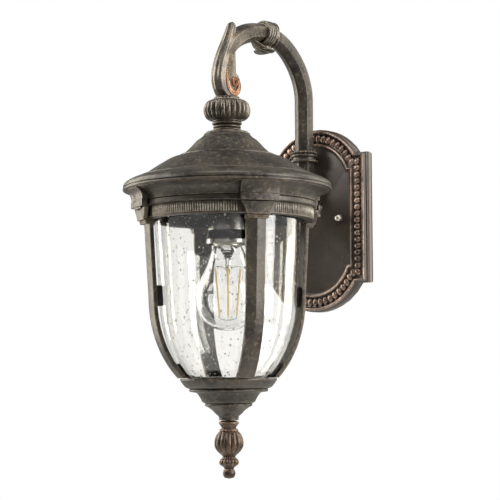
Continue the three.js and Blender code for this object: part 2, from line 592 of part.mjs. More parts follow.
// ---------------------------------------------------------------- socket and bulb
const cupInner = socket.cupRadius - socket.cupWall;
const mouthInner = socket.mouthRadius - socket.cupWall;
piece('socket_cup', turned([
  [socket.mouthRadius, socket.bottom], [socket.mouthRadius, socket.bottom + 4],
  [socket.cupRadius, socket.bottom + 12], [socket.cupRadius, socket.top - 3],
  [socket.cupRadius - 3, socket.top], [clearBore, socket.top],
  [clearBore, socket.top - 1.4], [cupInner - 2.4, socket.top - 1.4], [cupInner, socket.top - 3.6],
  [cupInner, socket.bottom + 11.6], [mouthInner, socket.bottom + 4], [mouthInner, socket.bottom],
  [socket.mouthRadius, socket.bottom]], MID), darkBronze, axis);
const bodyRadius = cupInner - GAP - 0.2;
const seatZ = -9;
const shellInner = bulb.capRadius + 0.4;
const shellOuter = shellInner + 0.6;
const bodyBore = shellOuter + 0.4;
piece('socket_body', turned([[0, seatZ], [bodyBore, seatZ], [bodyBore, socket.bottom + 1.5],
  [bodyRadius, socket.bottom + 1.5], [bodyRadius, -4.4], [bodyRadius - 3.4, -1.9], [clearBore, -1.9],
  [clearBore, -6.4], [0, -6.4]], MID), porcelain, axis);
piece('socket_shell', tube(shellOuter, shellInner, socket.bottom + 1.7, seatZ - GAP, MID), brass, axis);
piece('socket_contact', disc(3.5, bulb.capTop + GAP, seatZ - GAP, SMALL), brass, axis);

piece('bulb_cap', turned([[0, bulb.neck + GAP], [bulb.capRadius - 0.7, bulb.neck + GAP],
  [bulb.capRadius, -30.6], [bulb.capRadius, -14.4], [5.4, -12], [3, bulb.capTop], [0, bulb.capTop]], MID), nickel, axis);
// the envelope: part of a sphere below, drawn in to the neck above
function envelope(shrink, steps) {
  const radius = bulb.radius - shrink;
  const points = [];
  const meetAngle = 0.42;
  for (let i = 0; i <= steps; i += 1) {
    const angle = -Math.PI / 2 + ((Math.PI / 2 + meetAngle) * i) / steps;
    points.push([radius * Math.cos(angle), bulb.centre + radius * Math.sin(angle)]);
  }
  points[0][0] = 0;
  const neckRadius = bulb.capRadius - 0.1 - shrink;
  points.push([neckRadius + 9.2, -57], [neckRadius + 4.6, -46], [neckRadius + 2.6, -38]);
  points.push([neckRadius, bulb.neck]);
  return points;
}
piece('bulb_glass', turned([...envelope(0, 7), ...envelope(bulb.wall, 7).reverse()], MID), clearGlass, axis);
piece('bulb_stem', turned([[0, -56], [2.2, -56], [2.6, -47], [4, -42], [10.4, -34], [10.4, bulb.neck - GAP],
  [0, bulb.neck - GAP]], SMALL), clearGlass, axis);

// four lamp filaments on one wire frame: wide apart at the top, closer at the bottom
const filament = { topRadius: 11.4, top: -52, footRadius: 7.5, foot: -97, thick: 0.95, count: 4 };
let filamentSolid = toSolid(disc(3, -57.6, -56 - GAP, SMALL));
for (let i = 0; i < filament.count; i += 1) {
  const angle = THREE.MathUtils.degToRad(-50 + (360 / filament.count) * i);
  const at = (radius, z) => new THREE.Vector3(radius * Math.cos(angle), radius * Math.sin(angle), z);
  const wire = (from, to, thick) => toSolid(strut(from, to, thick));
  filamentSolid = filamentSolid
    .add(wire(at(filament.topRadius, filament.top), at(filament.footRadius, filament.foot), filament.thick))
    .add(wire(at(1, -57), at(filament.topRadius, filament.top - 1), 0.5))
    .add(wire(at(0, filament.foot + 0.5), at(filament.footRadius, filament.foot + 0.5), 0.5));
}
piece('filament_set', toGeometry(filamentSolid), amber, axis);

// ---------------------------------------------------------------- cage: ring, ribs, cup, finial
piece('cage_ring', turned([[ring.bore, ring.bottom], [ring.band, ring.bottom], [ring.band, 0.4],
  [ring.ledge, 1.6], [ring.ledge, ring.top], [ring.lip, ring.top], [ring.lip, ring.top - 2.5],
  [ring.bore, ring.top - 2.5], [ring.bore, ring.bottom]], BIG), bronze, axis);

// radius of the bowed outline at a height: a slow taper above the waist, an ellipse below
function bowed(form, z) {
  if (z >= WAIST) return form.waist + ((form.top - form.waist) * (z - WAIST)) / -WAIST;
  return form.waist * Math.sqrt(1 - ((z - WAIST) / form.drop) ** 2);
}
const bowedSlope = (form, z) => bowed(form, z + 0.5) - bowed(form, z - 0.5);
const ribOuter = (z) => bowed(cage, z);
const ribInner = (z) => ribOuter(z) - rib.thickness * Math.sqrt(1 + bowedSlope(cage, z) ** 2);

function ribSection(z, inner, outer, width, ridge) {
  const half = width / 2;
  return [
    new THREE.Vector3(inner, -half, z), new THREE.Vector3(outer, -half, z),
    new THREE.Vector3(outer + ridge, 0, z), new THREE.Vector3(outer, half, z),
    new THREE.Vector3(inner, half, z),
  ];
}
const ribLevels = 10;
const ribTop = ring.bottom - GAP;
const headInner = ring.band + GAP + 0.1;
const shankTop = -15;
const ribLevelAt = (i) => rib.foot + (shankTop - rib.foot) * (i / ribLevels) ** 1.25;
const ribLoops = [];
for (let i = 0; i <= ribLevels; i += 1) {
  const z = ribLevelAt(i);
  const share = (z - rib.foot) / (shankTop - rib.foot);
  const width = rib.footWidth + (rib.topWidth - rib.footWidth) * share;
  ribLoops.push(ribSection(z, ribInner(z), ribOuter(z), width, rib.ridge * share));
}
ribLoops.push(
  ribSection(-13.6, ribInner(-14), head.lower - 2.4, head.bottomWidth, 0),
  ribSection(ribTop - 1, ribInner(-14), head.lower, head.bottomWidth, 0),
  ribSection(ribTop, headInner, head.lower, head.bottomWidth + 1, 0),
  ribSection(head.top, headInner, head.outer, head.topWidth, 0),
);
const plainRib = toSolid(loft(ribLoops));

for (const azimuth of ribAzimuths) {
  let solid = plainRib;
  if (azimuth === HINGE_AZIMUTH) {
    solid = solid.subtract(pinRod(hinge.barrel + GAP, -hinge.knuckle, hinge.knuckle));
    for (const [low, high] of [[-hinge.reach, -hinge.knuckle], [hinge.knuckle, hinge.reach]]) {
      solid = solid.add(pinRod(hinge.barrel, low, high));
    }
    solid = solid.subtract(pinRod(hinge.pin + GAP, -hinge.reach - 1, hinge.reach + 1));
  }
  if (azimuth === CATCH_AZIMUTH) {
    const cheek = (inner, outer, low, high) =>
      toSolid(block(inner, outer, -fork.halfWidth, fork.halfWidth, low, high));
    const innerFace = tongue.inner - GAP;
    const outerFace = tongue.outer + GAP;
    solid = solid.add(cheek(headInner + 2, outerFace + fork.cheek, fork.floor, tongue.bottom - 2 * GAP))
      .add(cheek(innerFace - 1.8, innerFace, fork.floor + 2, ring.top - GAP))
      .add(cheek(outerFace, outerFace + fork.cheek, fork.floor + 2, fork.screwZ + 2.2));
    const screwBore = disc(fork.screwRadius + GAP, tongue.outer, tongue.outer + 6, SMALL);
    solid = solid.subtract(toSolid(screwBore.rotateY(Math.PI / 2).translate(0, 0, fork.screwZ)));
  }
  piece(`rib_${azimuth}`, toGeometry(solid), bronze, sectors[azimuth]);
}
const pinEnd = hinge.reach + 0.4;
piece('hinge_pin', disc(hinge.pin, -pinEnd, pinEnd, SMALL).rotateX(-Math.PI / 2)
  .translate(hinge.radius, 0, hinge.z), darkBronze, sectors[HINGE_AZIMUTH]);

const screwTip = tongue.outer + GAP;
const catchScrew = turned([[0, screwTip], [fork.screwRadius, screwTip], [fork.screwRadius, screwTip + 2.4],
  [2.7, screwTip + 2.4], [2.7, screwTip + 4.6], [0, screwTip + 5]], SMALL).rotateY(Math.PI / 2);
piece('catch_screw', catchScrew.translate(0, 0, fork.screwZ), darkBronze, sectors[CATCH_AZIMUTH]);

// bottom cup: holds the feet of the ribs and hides the bowl's floor
const cupRim = ribOuter(rib.foot) - cup.inset;
piece('bottom_cup', turned([
  [cup.bore, cup.bottom], [8.9, cup.bottom], [8.9, cup.bottom + 3], [12, cup.bottom + 6],
  [17.5, cup.bottom + 11], [20.6, cup.bottom + 13.4], [20.6, cup.bottom + 14.6], [24, cup.bottom + 17.6],
  [28.5, FOOT - 13.1], [cupRim - 9, FOOT - 11.5], [cupRim - 9, FOOT - 9.5], [cupRim - 5.1, FOOT - 7.9],
  [cupRim, FOOT - 2.1], [cupRim, FOOT], [cupRim - 3.9, FOOT], [cupRim - 3.9, FOOT - 1.5],
  [cupRim - 8.1, FOOT - 6.5], [cupRim - 12.5, FOOT - 8.7], [22, FOOT - 10.5], [16, cup.seat],
  [cup.bore, cup.seat], [cup.bore, cup.bottom],
], 20), bronze, axis);
piece('finial_rod', disc(rod.radius, rod.bottom, rod.top, SMALL), zincSteel, axis);
piece('finial_nut', hexNut(10, rod.radius + GAP, cup.seat + GAP, cup.seat + 4), zincSteel, axis);

const finialTop = cup.bottom - GAP;
const rodBore = rod.radius + GAP;
const acorn = [
  [0, 51.7], [3.6, 50.7], [5.6, 46.9], [4.4, 43.1], [6.4, 40.7], [8.7, 36.7], [6.9, 31.7], [8.6, 28.3],
  [12.6, 24.3], [13.2, 20.1], [12, 14.3], [9.6, 9.5], [6.8, 7.3], [8.6, 3.7], [8.6, 0],
].map(([radius, below]) => [radius, finialTop - below]);
const finialBore = [[rodBore, finialTop], [rodBore, rod.bottom - GAP], [0, rod.bottom - GAP]];
piece('finial', turned([...acorn, ...finialBore], MID), copperRubbed, axis);

// ---------------------------------------------------------------- glass, its seal and its pads
const bowlOuter = (z) => bowed(bowl, z);
const bowlLevels = 7;
const outside = [[0, bowl.floor], [26, bowl.floor]];
const inside = [[0, bowl.floor + bowl.wall], [25, bowl.floor + bowl.wall]];
for (let i = 0; i <= bowlLevels; i += 1) {
  const z = bowl.floor + 3.4 + (bowl.rim - bowl.floor - 3.4) * (i / bowlLevels) ** 1.5;
  outside.push([bowlOuter(z), z]);
  inside.push([bowlOuter(z) - bowl.wall * Math.sqrt(1 + bowedSlope(bowl, z) ** 2), z]);
}
inside[2][1] += 1.4;
piece('glass_bowl', turned([...outside, ...inside.reverse()], BIG), seededGlass, axis);
const seal = tube(ring.bore - GAP, bowl.top + 0.5, ring.bottom + 1, ring.bottom + 9, BIG);
piece('glass_seal', seal, rubber, axis);

const padLevels = { upper: [WAIST - 7, WAIST + 11], lower: [FOOT + 2, FOOT + 13] };
const padHalf = 4.2;
// the rib's inner face runs straight between its levels, and the pads lie against that face
function ribFace(z) {
  let i = 0;
  while (ribLevelAt(i + 1) < z) i += 1;
  const [low, high] = [ribLevelAt(i), ribLevelAt(i + 1)];
  return THREE.MathUtils.mapLinear(z, low, high, ribInner(low), ribInner(high));
}
const padLevelsBetween = (low, high) => {
  const inside = Array.from({ length: ribLevels }, (_, i) => ribLevelAt(i)).filter((z) => z > low && z < high);
  return [low, ...inside, high];
};
for (const azimuth of ribAzimuths) {
  for (const [level, [low, high]] of Object.entries(padLevels)) {
    const corner = (radius, y, z) => new THREE.Vector3(radius, y, z);
    const section = (z) => [
      corner(bowlOuter(z) + GAP, -padHalf, z), corner(ribFace(z) - GAP, -padHalf, z),
      corner(ribFace(z) - GAP, padHalf, z), corner(bowlOuter(z) + GAP, padHalf, z),
    ];
    const loops = padLevelsBetween(low, high).map(section);
    piece(`pad_${level}_${azimuth}`, loft(loops), rubber, sectors[azimuth]);
  }
}

export default lantern;
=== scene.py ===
import math
import bmesh
import bpy
import numpy as np
from mathutils import Matrix, Quaternion, Vector


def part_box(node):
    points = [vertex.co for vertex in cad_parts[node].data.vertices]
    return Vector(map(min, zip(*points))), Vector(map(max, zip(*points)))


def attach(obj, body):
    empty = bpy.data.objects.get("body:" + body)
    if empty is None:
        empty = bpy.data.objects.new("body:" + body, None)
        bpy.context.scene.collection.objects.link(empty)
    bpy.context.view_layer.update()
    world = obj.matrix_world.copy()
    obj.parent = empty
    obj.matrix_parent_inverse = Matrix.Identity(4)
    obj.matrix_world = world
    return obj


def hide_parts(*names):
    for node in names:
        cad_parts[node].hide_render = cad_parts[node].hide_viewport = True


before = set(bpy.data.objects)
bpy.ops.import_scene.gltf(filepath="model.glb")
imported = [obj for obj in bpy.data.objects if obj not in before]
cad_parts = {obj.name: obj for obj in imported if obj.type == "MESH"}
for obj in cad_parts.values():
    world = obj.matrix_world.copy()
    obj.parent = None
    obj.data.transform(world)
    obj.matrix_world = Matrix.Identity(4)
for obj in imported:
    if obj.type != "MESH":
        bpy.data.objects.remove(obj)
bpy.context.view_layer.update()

# Outdoor wall lantern in oil-rubbed bronze. Everything below is drawn in millimetres in the
# lantern's own frame: the wall is the plane Y = 0, the lantern hangs towards -Y, and +Z is up.
MM = 0.001
FULL_TURN = 2 * math.pi


def lowest(node):
    return np.array(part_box(node)[0]) / MM


def highest(node):
    return np.array(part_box(node)[1]) / MM


AXIS_Y = (lowest("canopy")[1] + highest("canopy")[1]) / 2  # the lantern's own upright axis
RIBS = {"rib_60": 60, "rib_150": 150, "rib_240": 240, "rib_330": 330}  # azimuth from -Y towards +X


# ---------------------------------------------------------------- camera, light and floor
def aim_camera():
    azimuth, pitch, roll = math.radians(40), math.radians(3.3), math.radians(-0.4)
    distance, beside, height = 1400, 19.8, -152.5
    away = Vector((math.sin(azimuth), -math.cos(azimuth), 0))
    right = Vector((math.cos(azimuth), math.sin(azimuth), 0))
    data = bpy.data.cameras.new("camera")
    data.lens = 112.1
    data.sensor_width = 36
    data.shift_y = 0.079
    data.clip_start = 0.05
    data.clip_end = 100
    camera = bpy.data.objects.new("camera", data)
    bpy.context.scene.collection.objects.link(camera)
    place = Vector((0, AXIS_Y, height)) + away * distance + right * beside
    camera.location = place * MM
    look = -away * math.cos(pitch) + Vector((0, 0, math.sin(pitch)))
    camera.rotation_mode = "QUATERNION"
    camera.rotation_quaternion = look.to_track_quat("-Z", "Y") @ Quaternion((0, 0, 1), roll)
    bpy.context.scene.camera = camera


def softbox(name, azimuth, elevation, distance, size, power, tint=(1, 1, 1)):
    """A soft rectangular light that faces the lantern's middle."""
    data = bpy.data.lights.new(name, "AREA")
    data.shape = "RECTANGLE"
    data.size, data.size_y = size
    data.energy = power
    data.color = tint
    light = bpy.data.objects.new(name, data)
    bpy.context.scene.collection.objects.link(light)
    turn, lift = math.radians(azimuth), math.radians(elevation)
    away = Vector((math.sin(turn) * math.cos(lift), -math.cos(turn) * math.cos(lift), math.sin(lift)))
    light.location = Vector((0, AXIS_Y * MM, -0.03)) + away * distance
    light.rotation_mode = "QUATERNION"
    light.rotation_quaternion = (-away).to_track_quat("-Z", "Y")


def linear(colour):
    """A linear colour from sRGB hex."""
    channels = [int(colour[i:i + 2], 16) / 255 for i in (1, 3, 5)]
    curved = [c / 12.92 if c <= 0.04045 else ((c + 0.055) / 1.055) ** 2.4 for c in channels]
    return (*curved, 1.0)


def add(tree, kind, links=None, **settings):
    """One node with its settings; links maps a socket to a value or to another node's socket."""
    node = tree.nodes.new(kind)
    for key, value in settings.items():
        setattr(node, key, value)
    for key, value in (links or {}).items():
        if isinstance(value, bpy.types.NodeSocket):
            tree.links.new(value, node.inputs[key])
        else:
            node.inputs[key].default_value = value
    return node


def light_studio():
    world = bpy.data.worlds.new("studio")
    bpy.context.scene.world = world
    world.use_nodes = True
    tree = world.node_tree
    tree.nodes.clear()
    path = add(tree, "ShaderNodeLightPath")
    direct = add(tree, "ShaderNodeMath", {0: path.outputs["Is Camera Ray"],
                                          1: path.outputs["Is Transmission Ray"]}, operation="MAXIMUM")
    strength = add(tree, "ShaderNodeMapRange", {0: direct.outputs[0], 3: 0.26, 4: 1.0})
    shade = add(tree, "ShaderNodeBackground", {"Color": (1, 1, 1, 1), "Strength": strength.outputs[0]})
    add(tree, "ShaderNodeOutputWorld", {"Surface": shade.outputs[0]})
    warm = (1.0, 0.96, 0.84)
    softbox("left_wall_of_light", -80, 14, 1.6, (1.0, 2.0), 36, warm)
    softbox("right_wall_of_light", 160, 20, 1.6, (0.8, 1.8), 16, warm)
    softbox("right_strip", 106, 14, 1.6, (0.8, 1.7), 38)
    softbox("front_fill", -38, 30, 2.0, (1.2, 0.9), 22)
    softbox("top_panel", 40, 68, 1.7, (0.9, 0.9), 14)
    bpy.context.scene.view_settings.view_transform = "Standard"


def lay_floor():
    build = bmesh.new()
    bmesh.ops.create_circle(build, cap_ends=True, segments=64, radius=6)
    mesh = bpy.data.meshes.new("studio_floor")
    build.to_mesh(mesh)
    build.free()
    mesh.transform(Matrix.Translation((0, 0, -1.7)))
    floor = bpy.data.objects.new("studio_floor", mesh)
    bpy.context.scene.collection.objects.link(floor)
    paper = bpy.data.materials.new("studio_paper")
    paper.use_nodes = True
    shader = paper.node_tree.nodes["Principled BSDF"]
    shader.inputs["Base Color"].default_value = linear("#f2f2f0")
    shader.inputs["Roughness"].default_value = 0.9
    shader.inputs["Emission Color"].default_value = (1, 1, 1, 1)
    shader.inputs["Emission Strength"].default_value = 0.35
    mesh.materials.append(paper)


# ---------------------------------------------------------------- finishes
def started(name):
    """A new material with its tree, its coordinates and its own shader linked to the output."""
    material = bpy.data.materials.new(name)
    material.use_nodes = True
    tree = material.node_tree
    tree.nodes.clear()
    shader = add(tree, "ShaderNodeBsdfPrincipled")
    add(tree, "ShaderNodeOutputMaterial", {"Surface": shader.outputs[0]})
    where = add(tree, "ShaderNodeTexCoord").outputs["Object"]
    return material, tree, shader, where


def grain(tree, where, size, detail=3.0, rough=0.55):
    """Noise whose lumps are about `size` millimetres across."""
    return add(tree, "ShaderNodeTexNoise", {"Vector": where, "Scale": 0.6 / (size * MM), "Detail": detail,
                                            "Roughness": rough}).outputs[0]


def patina(name, ground, shadow, rubbed, rub_and_highlight_amount=1.0, metal=0.35, gloss=0.36, sand=1.0, dust="#7d7563"):
    """Cast aluminium under oil-rubbed bronze paint: a dark semi-gloss brown, darker in the grooves from
    pooled paint and painted shade, rubbed back to copper on the edges, which in the pale finishes is also a
    painted highlight; pale flecks of the sand casting show through."""
    material, tree, shader, where = started(name)
    edge = add(tree, "ShaderNodeAttribute", attribute_name="edge").outputs["Fac"]
    blotch = grain(tree, where, 16, 4, 0.6)
    speck = grain(tree, where, 2.2, 4, 0.65)
    cloudy = add(tree, "ShaderNodeMapRange", {0: blotch, 1: 0.38, 2: 0.62})
    body = add(tree, "ShaderNodeMix", {0: cloudy.outputs[0], 6: linear(shadow), 7: linear(ground)},
               data_type="RGBA")
    fleck = add(tree, "ShaderNodeMapRange", {0: speck, 1: 0.53, 2: 0.72, 4: 0.5 * min(sand, 1.2)})
    flecked = add(tree, "ShaderNodeMix", {0: fleck.outputs[0], 6: body.outputs[2], 7: linear(dust)},
                  data_type="RGBA")
    # painted highlight: in the pale finishes the light tone on convex edges is partly wear and partly painted
    # highlight
    rubbed_and_highlit_edge = add(tree, "ShaderNodeMapRange", {0: edge, 1: 0.10, 2: 0.75, 4: rub_and_highlight_amount})
    scuffed = add(tree, "ShaderNodeMapRange", {0: speck, 1: 0.38, 2: 0.60})
    worn = add(tree, "ShaderNodeMath", {0: rubbed_and_highlit_edge.outputs[0], 1: scuffed.outputs[0]}, operation="MULTIPLY")
    rubbed_and_highlit_tone = add(tree, "ShaderNodeMix", {0: worn.outputs[0], 6: flecked.outputs[2], 7: linear(rubbed)},
                  data_type="RGBA")
    # painted shade: concave places darken towards near black, partly pooled paint and partly shade painted in
    pooled_paint_and_painted_shade = add(tree, "ShaderNodeMapRange", {0: edge, 1: -0.5, 2: -0.05, 3: 0.9, 4: 0.0})
    final = add(tree, "ShaderNodeMix", {0: pooled_paint_and_painted_shade.outputs[0], 6: rubbed_and_highlit_tone.outputs[2], 7: linear("#0f0d0b")},
                data_type="RGBA")
    uneven = min(sand, 1.0)
    rough = add(tree, "ShaderNodeMapRange", {0: speck, 1: 0.3, 2: 0.7, 3: gloss - 0.08 * uneven,
                                             4: gloss + 0.18 * uneven})
    pits = grain(tree, where, 1.8, 3, 0.6)
    swell = grain(tree, where, 7, 2, 0.5)
    height = add(tree, "ShaderNodeMath", {0: swell, 1: 1.6, 2: pits}, operation="MULTIPLY_ADD")
    bump = add(tree, "ShaderNodeBump", {"Height": height.outputs[0], "Distance": 0.30 * MM * sand,
                                        "Strength": 1.0})
    tree.links.new(final.outputs[2], shader.inputs["Base Color"])
    tree.links.new(rough.outputs[0], shader.inputs["Roughness"])
    tree.links.new(bump.outputs[0], shader.inputs["Normal"])
    shader.inputs["Metallic"].default_value = metal
    return material


def plated(name, colour, shadow, metal=1.0, gloss=0.35, size=0.8):
    """Plain metal with a bright plating that is cloudy and slightly stained."""
    material, tree, shader, where = started(name)
    cloud = grain(tree, where, 6, 4, 0.6)
    fine = grain(tree, where, size, 2, 0.5)
    mixed = add(tree, "ShaderNodeMapRange", {0: cloud, 1: 0.35, 2: 0.65})
    tint = add(tree, "ShaderNodeMix", {0: mixed.outputs[0], 6: linear(shadow), 7: linear(colour)},
               data_type="RGBA")
    rough = add(tree, "ShaderNodeMapRange", {0: cloud, 1: 0.3, 2: 0.7, 3: gloss - 0.06, 4: gloss + 0.14})
    bump = add(tree, "ShaderNodeBump", {"Height": fine, "Distance": 0.03 * MM, "Strength": 1.0})
    tree.links.new(tint.outputs[2], shader.inputs["Base Color"])
    tree.links.new(rough.outputs[0], shader.inputs["Roughness"])
    tree.links.new(bump.outputs[0], shader.inputs["Normal"])
    shader.inputs["Metallic"].default_value = metal
    return material


def moulded(name, colour, shadow, gloss=0.8, pore=0.9):
    """A moulding, glaze or foam, which has no metal in its sheen, with a fine grain."""
    return plated(name, colour, shadow, 0.0, gloss, pore)


def blown_glass(name, ripple=0.25, depth="#ffffff", density=0.0):
    """Clear glass with a slightly uneven wall; soda glass takes up blue, so its edges look olive."""
    material, tree, shader, where = started(name)
    wave = grain(tree, where, 14, 2, 0.5)
    bump = add(tree, "ShaderNodeBump", {"Height": wave, "Distance": ripple * MM, "Strength": 1.0})
    tree.links.new(bump.outputs[0], shader.inputs["Normal"])
    shader.inputs["Base Color"].default_value = (1, 1, 1, 1)
    shader.inputs["Roughness"].default_value = 0.0
    shader.inputs["IOR"].default_value = 1.5
    shader.inputs["Transmission Weight"].default_value = 1.0
    if density:
        taken = add(tree, "ShaderNodeVolumeAbsorption", {"Color": linear(depth), "Density": density})
        tree.links.new(taken.outputs[0], tree.nodes["Material Output"].inputs["Volume"])
    return material


def air_seeds():
    """Air bubbles in the glass, painted white: the white is a painted reflection of the light their round
    walls send back.
    """
    material, tree, shader, where = started("air_seed")
    cloud = grain(tree, where, 3, 2, 0.5)
    # painted reflection: the seeds are coloured white where real bubbles are clear
    tint = add(tree, "ShaderNodeMix", {0: cloud, 6: linear("#f3f2ec"), 7: linear("#ffffff")},
               data_type="RGBA")
    tree.links.new(tint.outputs[2], shader.inputs["Base Color"])
    shader.inputs["Roughness"].default_value = 0.12
    shader.inputs["Transmission Weight"].default_value = 0.45
    return material


def coated_amber_with_painted_glow():
    """LED filament sticks: a phosphor-filled silicone coat in amber, with a faint painted glow though the
    bulb is off.
    """
    material, tree, shader, where = started("amber_phosphor_with_painted_glow")
    cloud = grain(tree, where, 2, 2, 0.5)
    tint = add(tree, "ShaderNodeMix", {0: cloud, 6: linear("#d9b060"), 7: linear("#f2d793")},
               data_type="RGBA")
    tree.links.new(tint.outputs[2], shader.inputs["Base Color"])
    shader.inputs["Roughness"].default_value = 0.4
    # painted glow: the unlit sticks are made to shine
    shader.inputs["Emission Color"].default_value = linear("#f0cf80")
    shader.inputs["Emission Strength"].default_value = 0.2
    return material


# Every finish under the short name that the pieces below ask for.
finish = {
    "bronze": patina("oil_rubbed_bronze", "#443d34", "#2b2621", "#8a7864"),
    "bronze_smooth": patina("oil_rubbed_bronze_smooth", "#453d36", "#3f3832", "#8f7058", 0.9, 0.4, 0.28,
                            0.1),
    # a lighter copy of the bronze paint with pale ridges: partly wear, partly painted highlight
    "bronze_rubbed_and_highlit": patina("bronze_rubbed_pale_and_highlit_on_its_ridges", "#6a6153", "#363029", "#cfc6b6", 1.0, 0.45, 0.26,
                            0.6),
    # the band's ridges: a lighter copy of the bronze paint, partly wear and partly painted highlight
    "band": patina("bronze_worn_pale_and_highlit_on_the_band", "#92897a", "#5b5347", "#dcd4c6", 1.0, 0.4, 0.3, 0.5),
    "ribbon": patina("worn_copper_ribbon", "#9a6c4c", "#5a3e2c", "#d8a67e", 1.0, 0.5, 0.28, 0.5),
    "rims": patina("rubbed_copper_trim", "#a38878", "#4a3a30", "#ecd8cc", 1.0, 0.5, 0.24, 0.4),
    "dark": patina("dark_bronze_paint", "#1f1c19", "#141210", "#5a4a3a", 0.5, 0.3, 0.14, 0.2),
    "copper": patina("rubbed_copper_casting", "#5e4a3a", "#352a21", "#c39a7c", 1.0, 0.45, 0.32),
    "socket": plated("black_nickel_plating", "#8d8a86", "#5f5c59", gloss=0.14, size=3.0),
    "zinc": plated("zinc_plated_steel", "#a9aaa6", "#83847f"),
    "green": plated("green_passivated_steel", "#2f7a45", "#1f5230", gloss=0.4),
    "brass": plated("drawn_brass", "#c09a55", "#94713a", gloss=0.3),
    "nickel": plated("nickel_plated_shell", "#c9c4b8", "#9c978c", gloss=0.28),
    "porcelain": moulded("glazed_porcelain", "#ece7db", "#dcd5c6", 0.25, 2.0),
    "rubber": moulded("black_rubber", "#1d1c1a", "#121110", 0.75),
    "foam": moulded("closed_cell_foam", "#34332f", "#232220", 0.95, 1.2),
    "sleeve": moulded("lead_sleeve", "#1f1e1c", "#141312", 0.7),
    "seeded": blown_glass("seeded_glass", ripple=0.2, depth="#e6dfb4", density=34.0),
    "clear": blown_glass("lamp_glass", ripple=0.02),
    "seeds": air_seeds(),
    "amber": coated_amber_with_painted_glow(),
}

CAD_FINISH = {
    "zinc": ["wall_strap", "mounting_stud_left", "mounting_stud_right", "stud_nut_left", "stud_nut_right",
             "foot_nipple", "foot_locknut", "lantern_nipple", "canopy_nut", "socket_bar", "bar_screw_left",
             "bar_screw_right", "bar_nut", "coupling_nut", "finial_rod", "finial_nut"],
    "green": ["ground_screw"],
    "brass": ["socket_contact", "socket_shell"],
    "foam": ["wall_gasket"],
    "sleeve": ["lead_wire"],
    "dark": ["hinge_pin"],
    "rubber": ["glass_seal"] + [f"pad_{level}_{azimuth}" for level in ("upper", "lower")
                                for azimuth in RIBS.values()],
}


# ---------------------------------------------------------------- making shapes
def skin(rings, capped=True):
    """Points and faces over rings of equal length."""
    rings = np.asarray(rings, float)
    rows, columns = rings.shape[:2]
    faces = []
    for row in range(rows - 1):
        here, there = row * columns, (row + 1) * columns
        for column in range(columns):
            beside = (column + 1) % columns
            faces.append((here + column, here + beside, there + beside, there + column))
    if capped:
        faces.append(tuple(range(columns)))
        faces.append(tuple(range((rows - 1) * columns, rows * columns)))
    return rings.reshape(-1, 3), faces


def turned(profile, steps=96, ripple=None):
    """A piece turned about Z from (radius, height) points that end on the axis or where they began."""
    angles = FULL_TURN * np.arange(steps) / steps
    rings = []
    for radius, height in profile:
        reach = ripple(radius, height, angles) if ripple else np.full(steps, float(radius))
        rings.append(np.stack([reach * np.cos(angles), reach * np.sin(angles),
                               np.full(steps, float(height))], -1))
    return skin(rings, capped=False)


def curve(points, steps=8):
    """Points on a smooth curve through the given ones."""
    known = np.asarray(points, float)
    padded = np.vstack([2 * known[0] - known[1], known, 2 * known[-1] - known[-2]])
    share = np.arange(steps)[:, None] / steps
    made = []
    for i in range(1, len(padded) - 2):
        a, b, c, d = padded[i - 1:i + 3]
        made.append(0.5 * (2 * b + (c - a) * share + (2 * a - 5 * b + 4 * c - d) * share ** 2
                           + (3 * b - a - 3 * c + d) * share ** 3))
    return [tuple(point) for point in np.vstack([*made, known[-1:]])]


def arc(centre, radius, start, end, steps=6):
    """Points on an arc about centre, from start to end degrees."""
    angles = np.radians(np.linspace(start, end, steps + 1))
    return [(centre[0] + radius * math.cos(a), centre[1] + radius * math.sin(a)) for a in angles]


def bead(radius, height, size, steps=6):
    """A half-round moulding that stands out from `radius`, written up the outside."""
    return arc((radius, height), size, -90, 90, steps)


def swept(outline, path, scale=None):
    """An outline of (across, outwards) points carried along (y, z) points in the plane X = 0."""
    path = np.asarray(path, float)
    along = np.gradient(path, axis=0)
    along /= np.linalg.norm(along, axis=1)[:, None]
    outline = np.asarray(outline, float)
    rings = []
    for i, (place, (ty, tz)) in enumerate(zip(path, along)):
        across, out = (outline * (scale[i] if scale is not None else 1.0)).T
        rings.append(np.stack([across, place[0] + tz * out, place[1] - ty * out], -1))
    return skin(rings)


def rod(path, radius, sides=8, closed=False):
    """A round bar of constant or changing radius along any path."""
    path = np.asarray(path, float)
    radius = np.broadcast_to(radius, len(path))
    along = np.gradient(path, axis=0)
    if closed:
        along = np.roll(path, -1, axis=0) - np.roll(path, 1, axis=0)
    along /= np.linalg.norm(along, axis=1)[:, None]
    side = np.cross(along[0], (0.3, 0.2, 0.93))
    rings = []
    for place, ahead, size in zip(path, along, radius):
        side = side - ahead * side.dot(ahead)
        side /= np.linalg.norm(side)
        up = np.cross(ahead, side)
        angles = FULL_TURN * np.arange(sides)[:, None] / sides
        rings.append(place + size * (np.cos(angles) * side + np.sin(angles) * up))
    if closed:
        rings.append(rings[0])
    return skin(rings, capped=not closed)


def moved(solid, by=(0, 0, 0), azimuth=None, lay=False):
    """A solid carried into place: laid down to stand out from the wall, or turned to an azimuth."""
    points, faces = solid
    if lay:
        points = np.stack([points[:, 0], -points[:, 2], points[:, 1]], -1)
    if azimuth is not None:
        turn = math.radians(azimuth - 90)
        x, y = points[:, 0].copy(), points[:, 1].copy()
        points = np.stack([x * math.cos(turn) - y * math.sin(turn), x * math.sin(turn) + y * math.cos(turn),
                           points[:, 2]], -1)
    return points + np.asarray(by, float), faces


def relaid(solid, axes, by, stretch=(1, 1, 1)):
    """A solid whose new X, Y and Z are the old axes named, stretched and then moved."""
    points, faces = solid
    return points[:, axes] * stretch + by, faces


def level_circle(radius, centre_y, height, steps=48):
    """Points round a level circle about an upright axis in the plane X = 0."""
    return [(radius * math.cos(a), centre_y + radius * math.sin(a), height)
            for a in FULL_TURN * np.arange(steps) / steps]


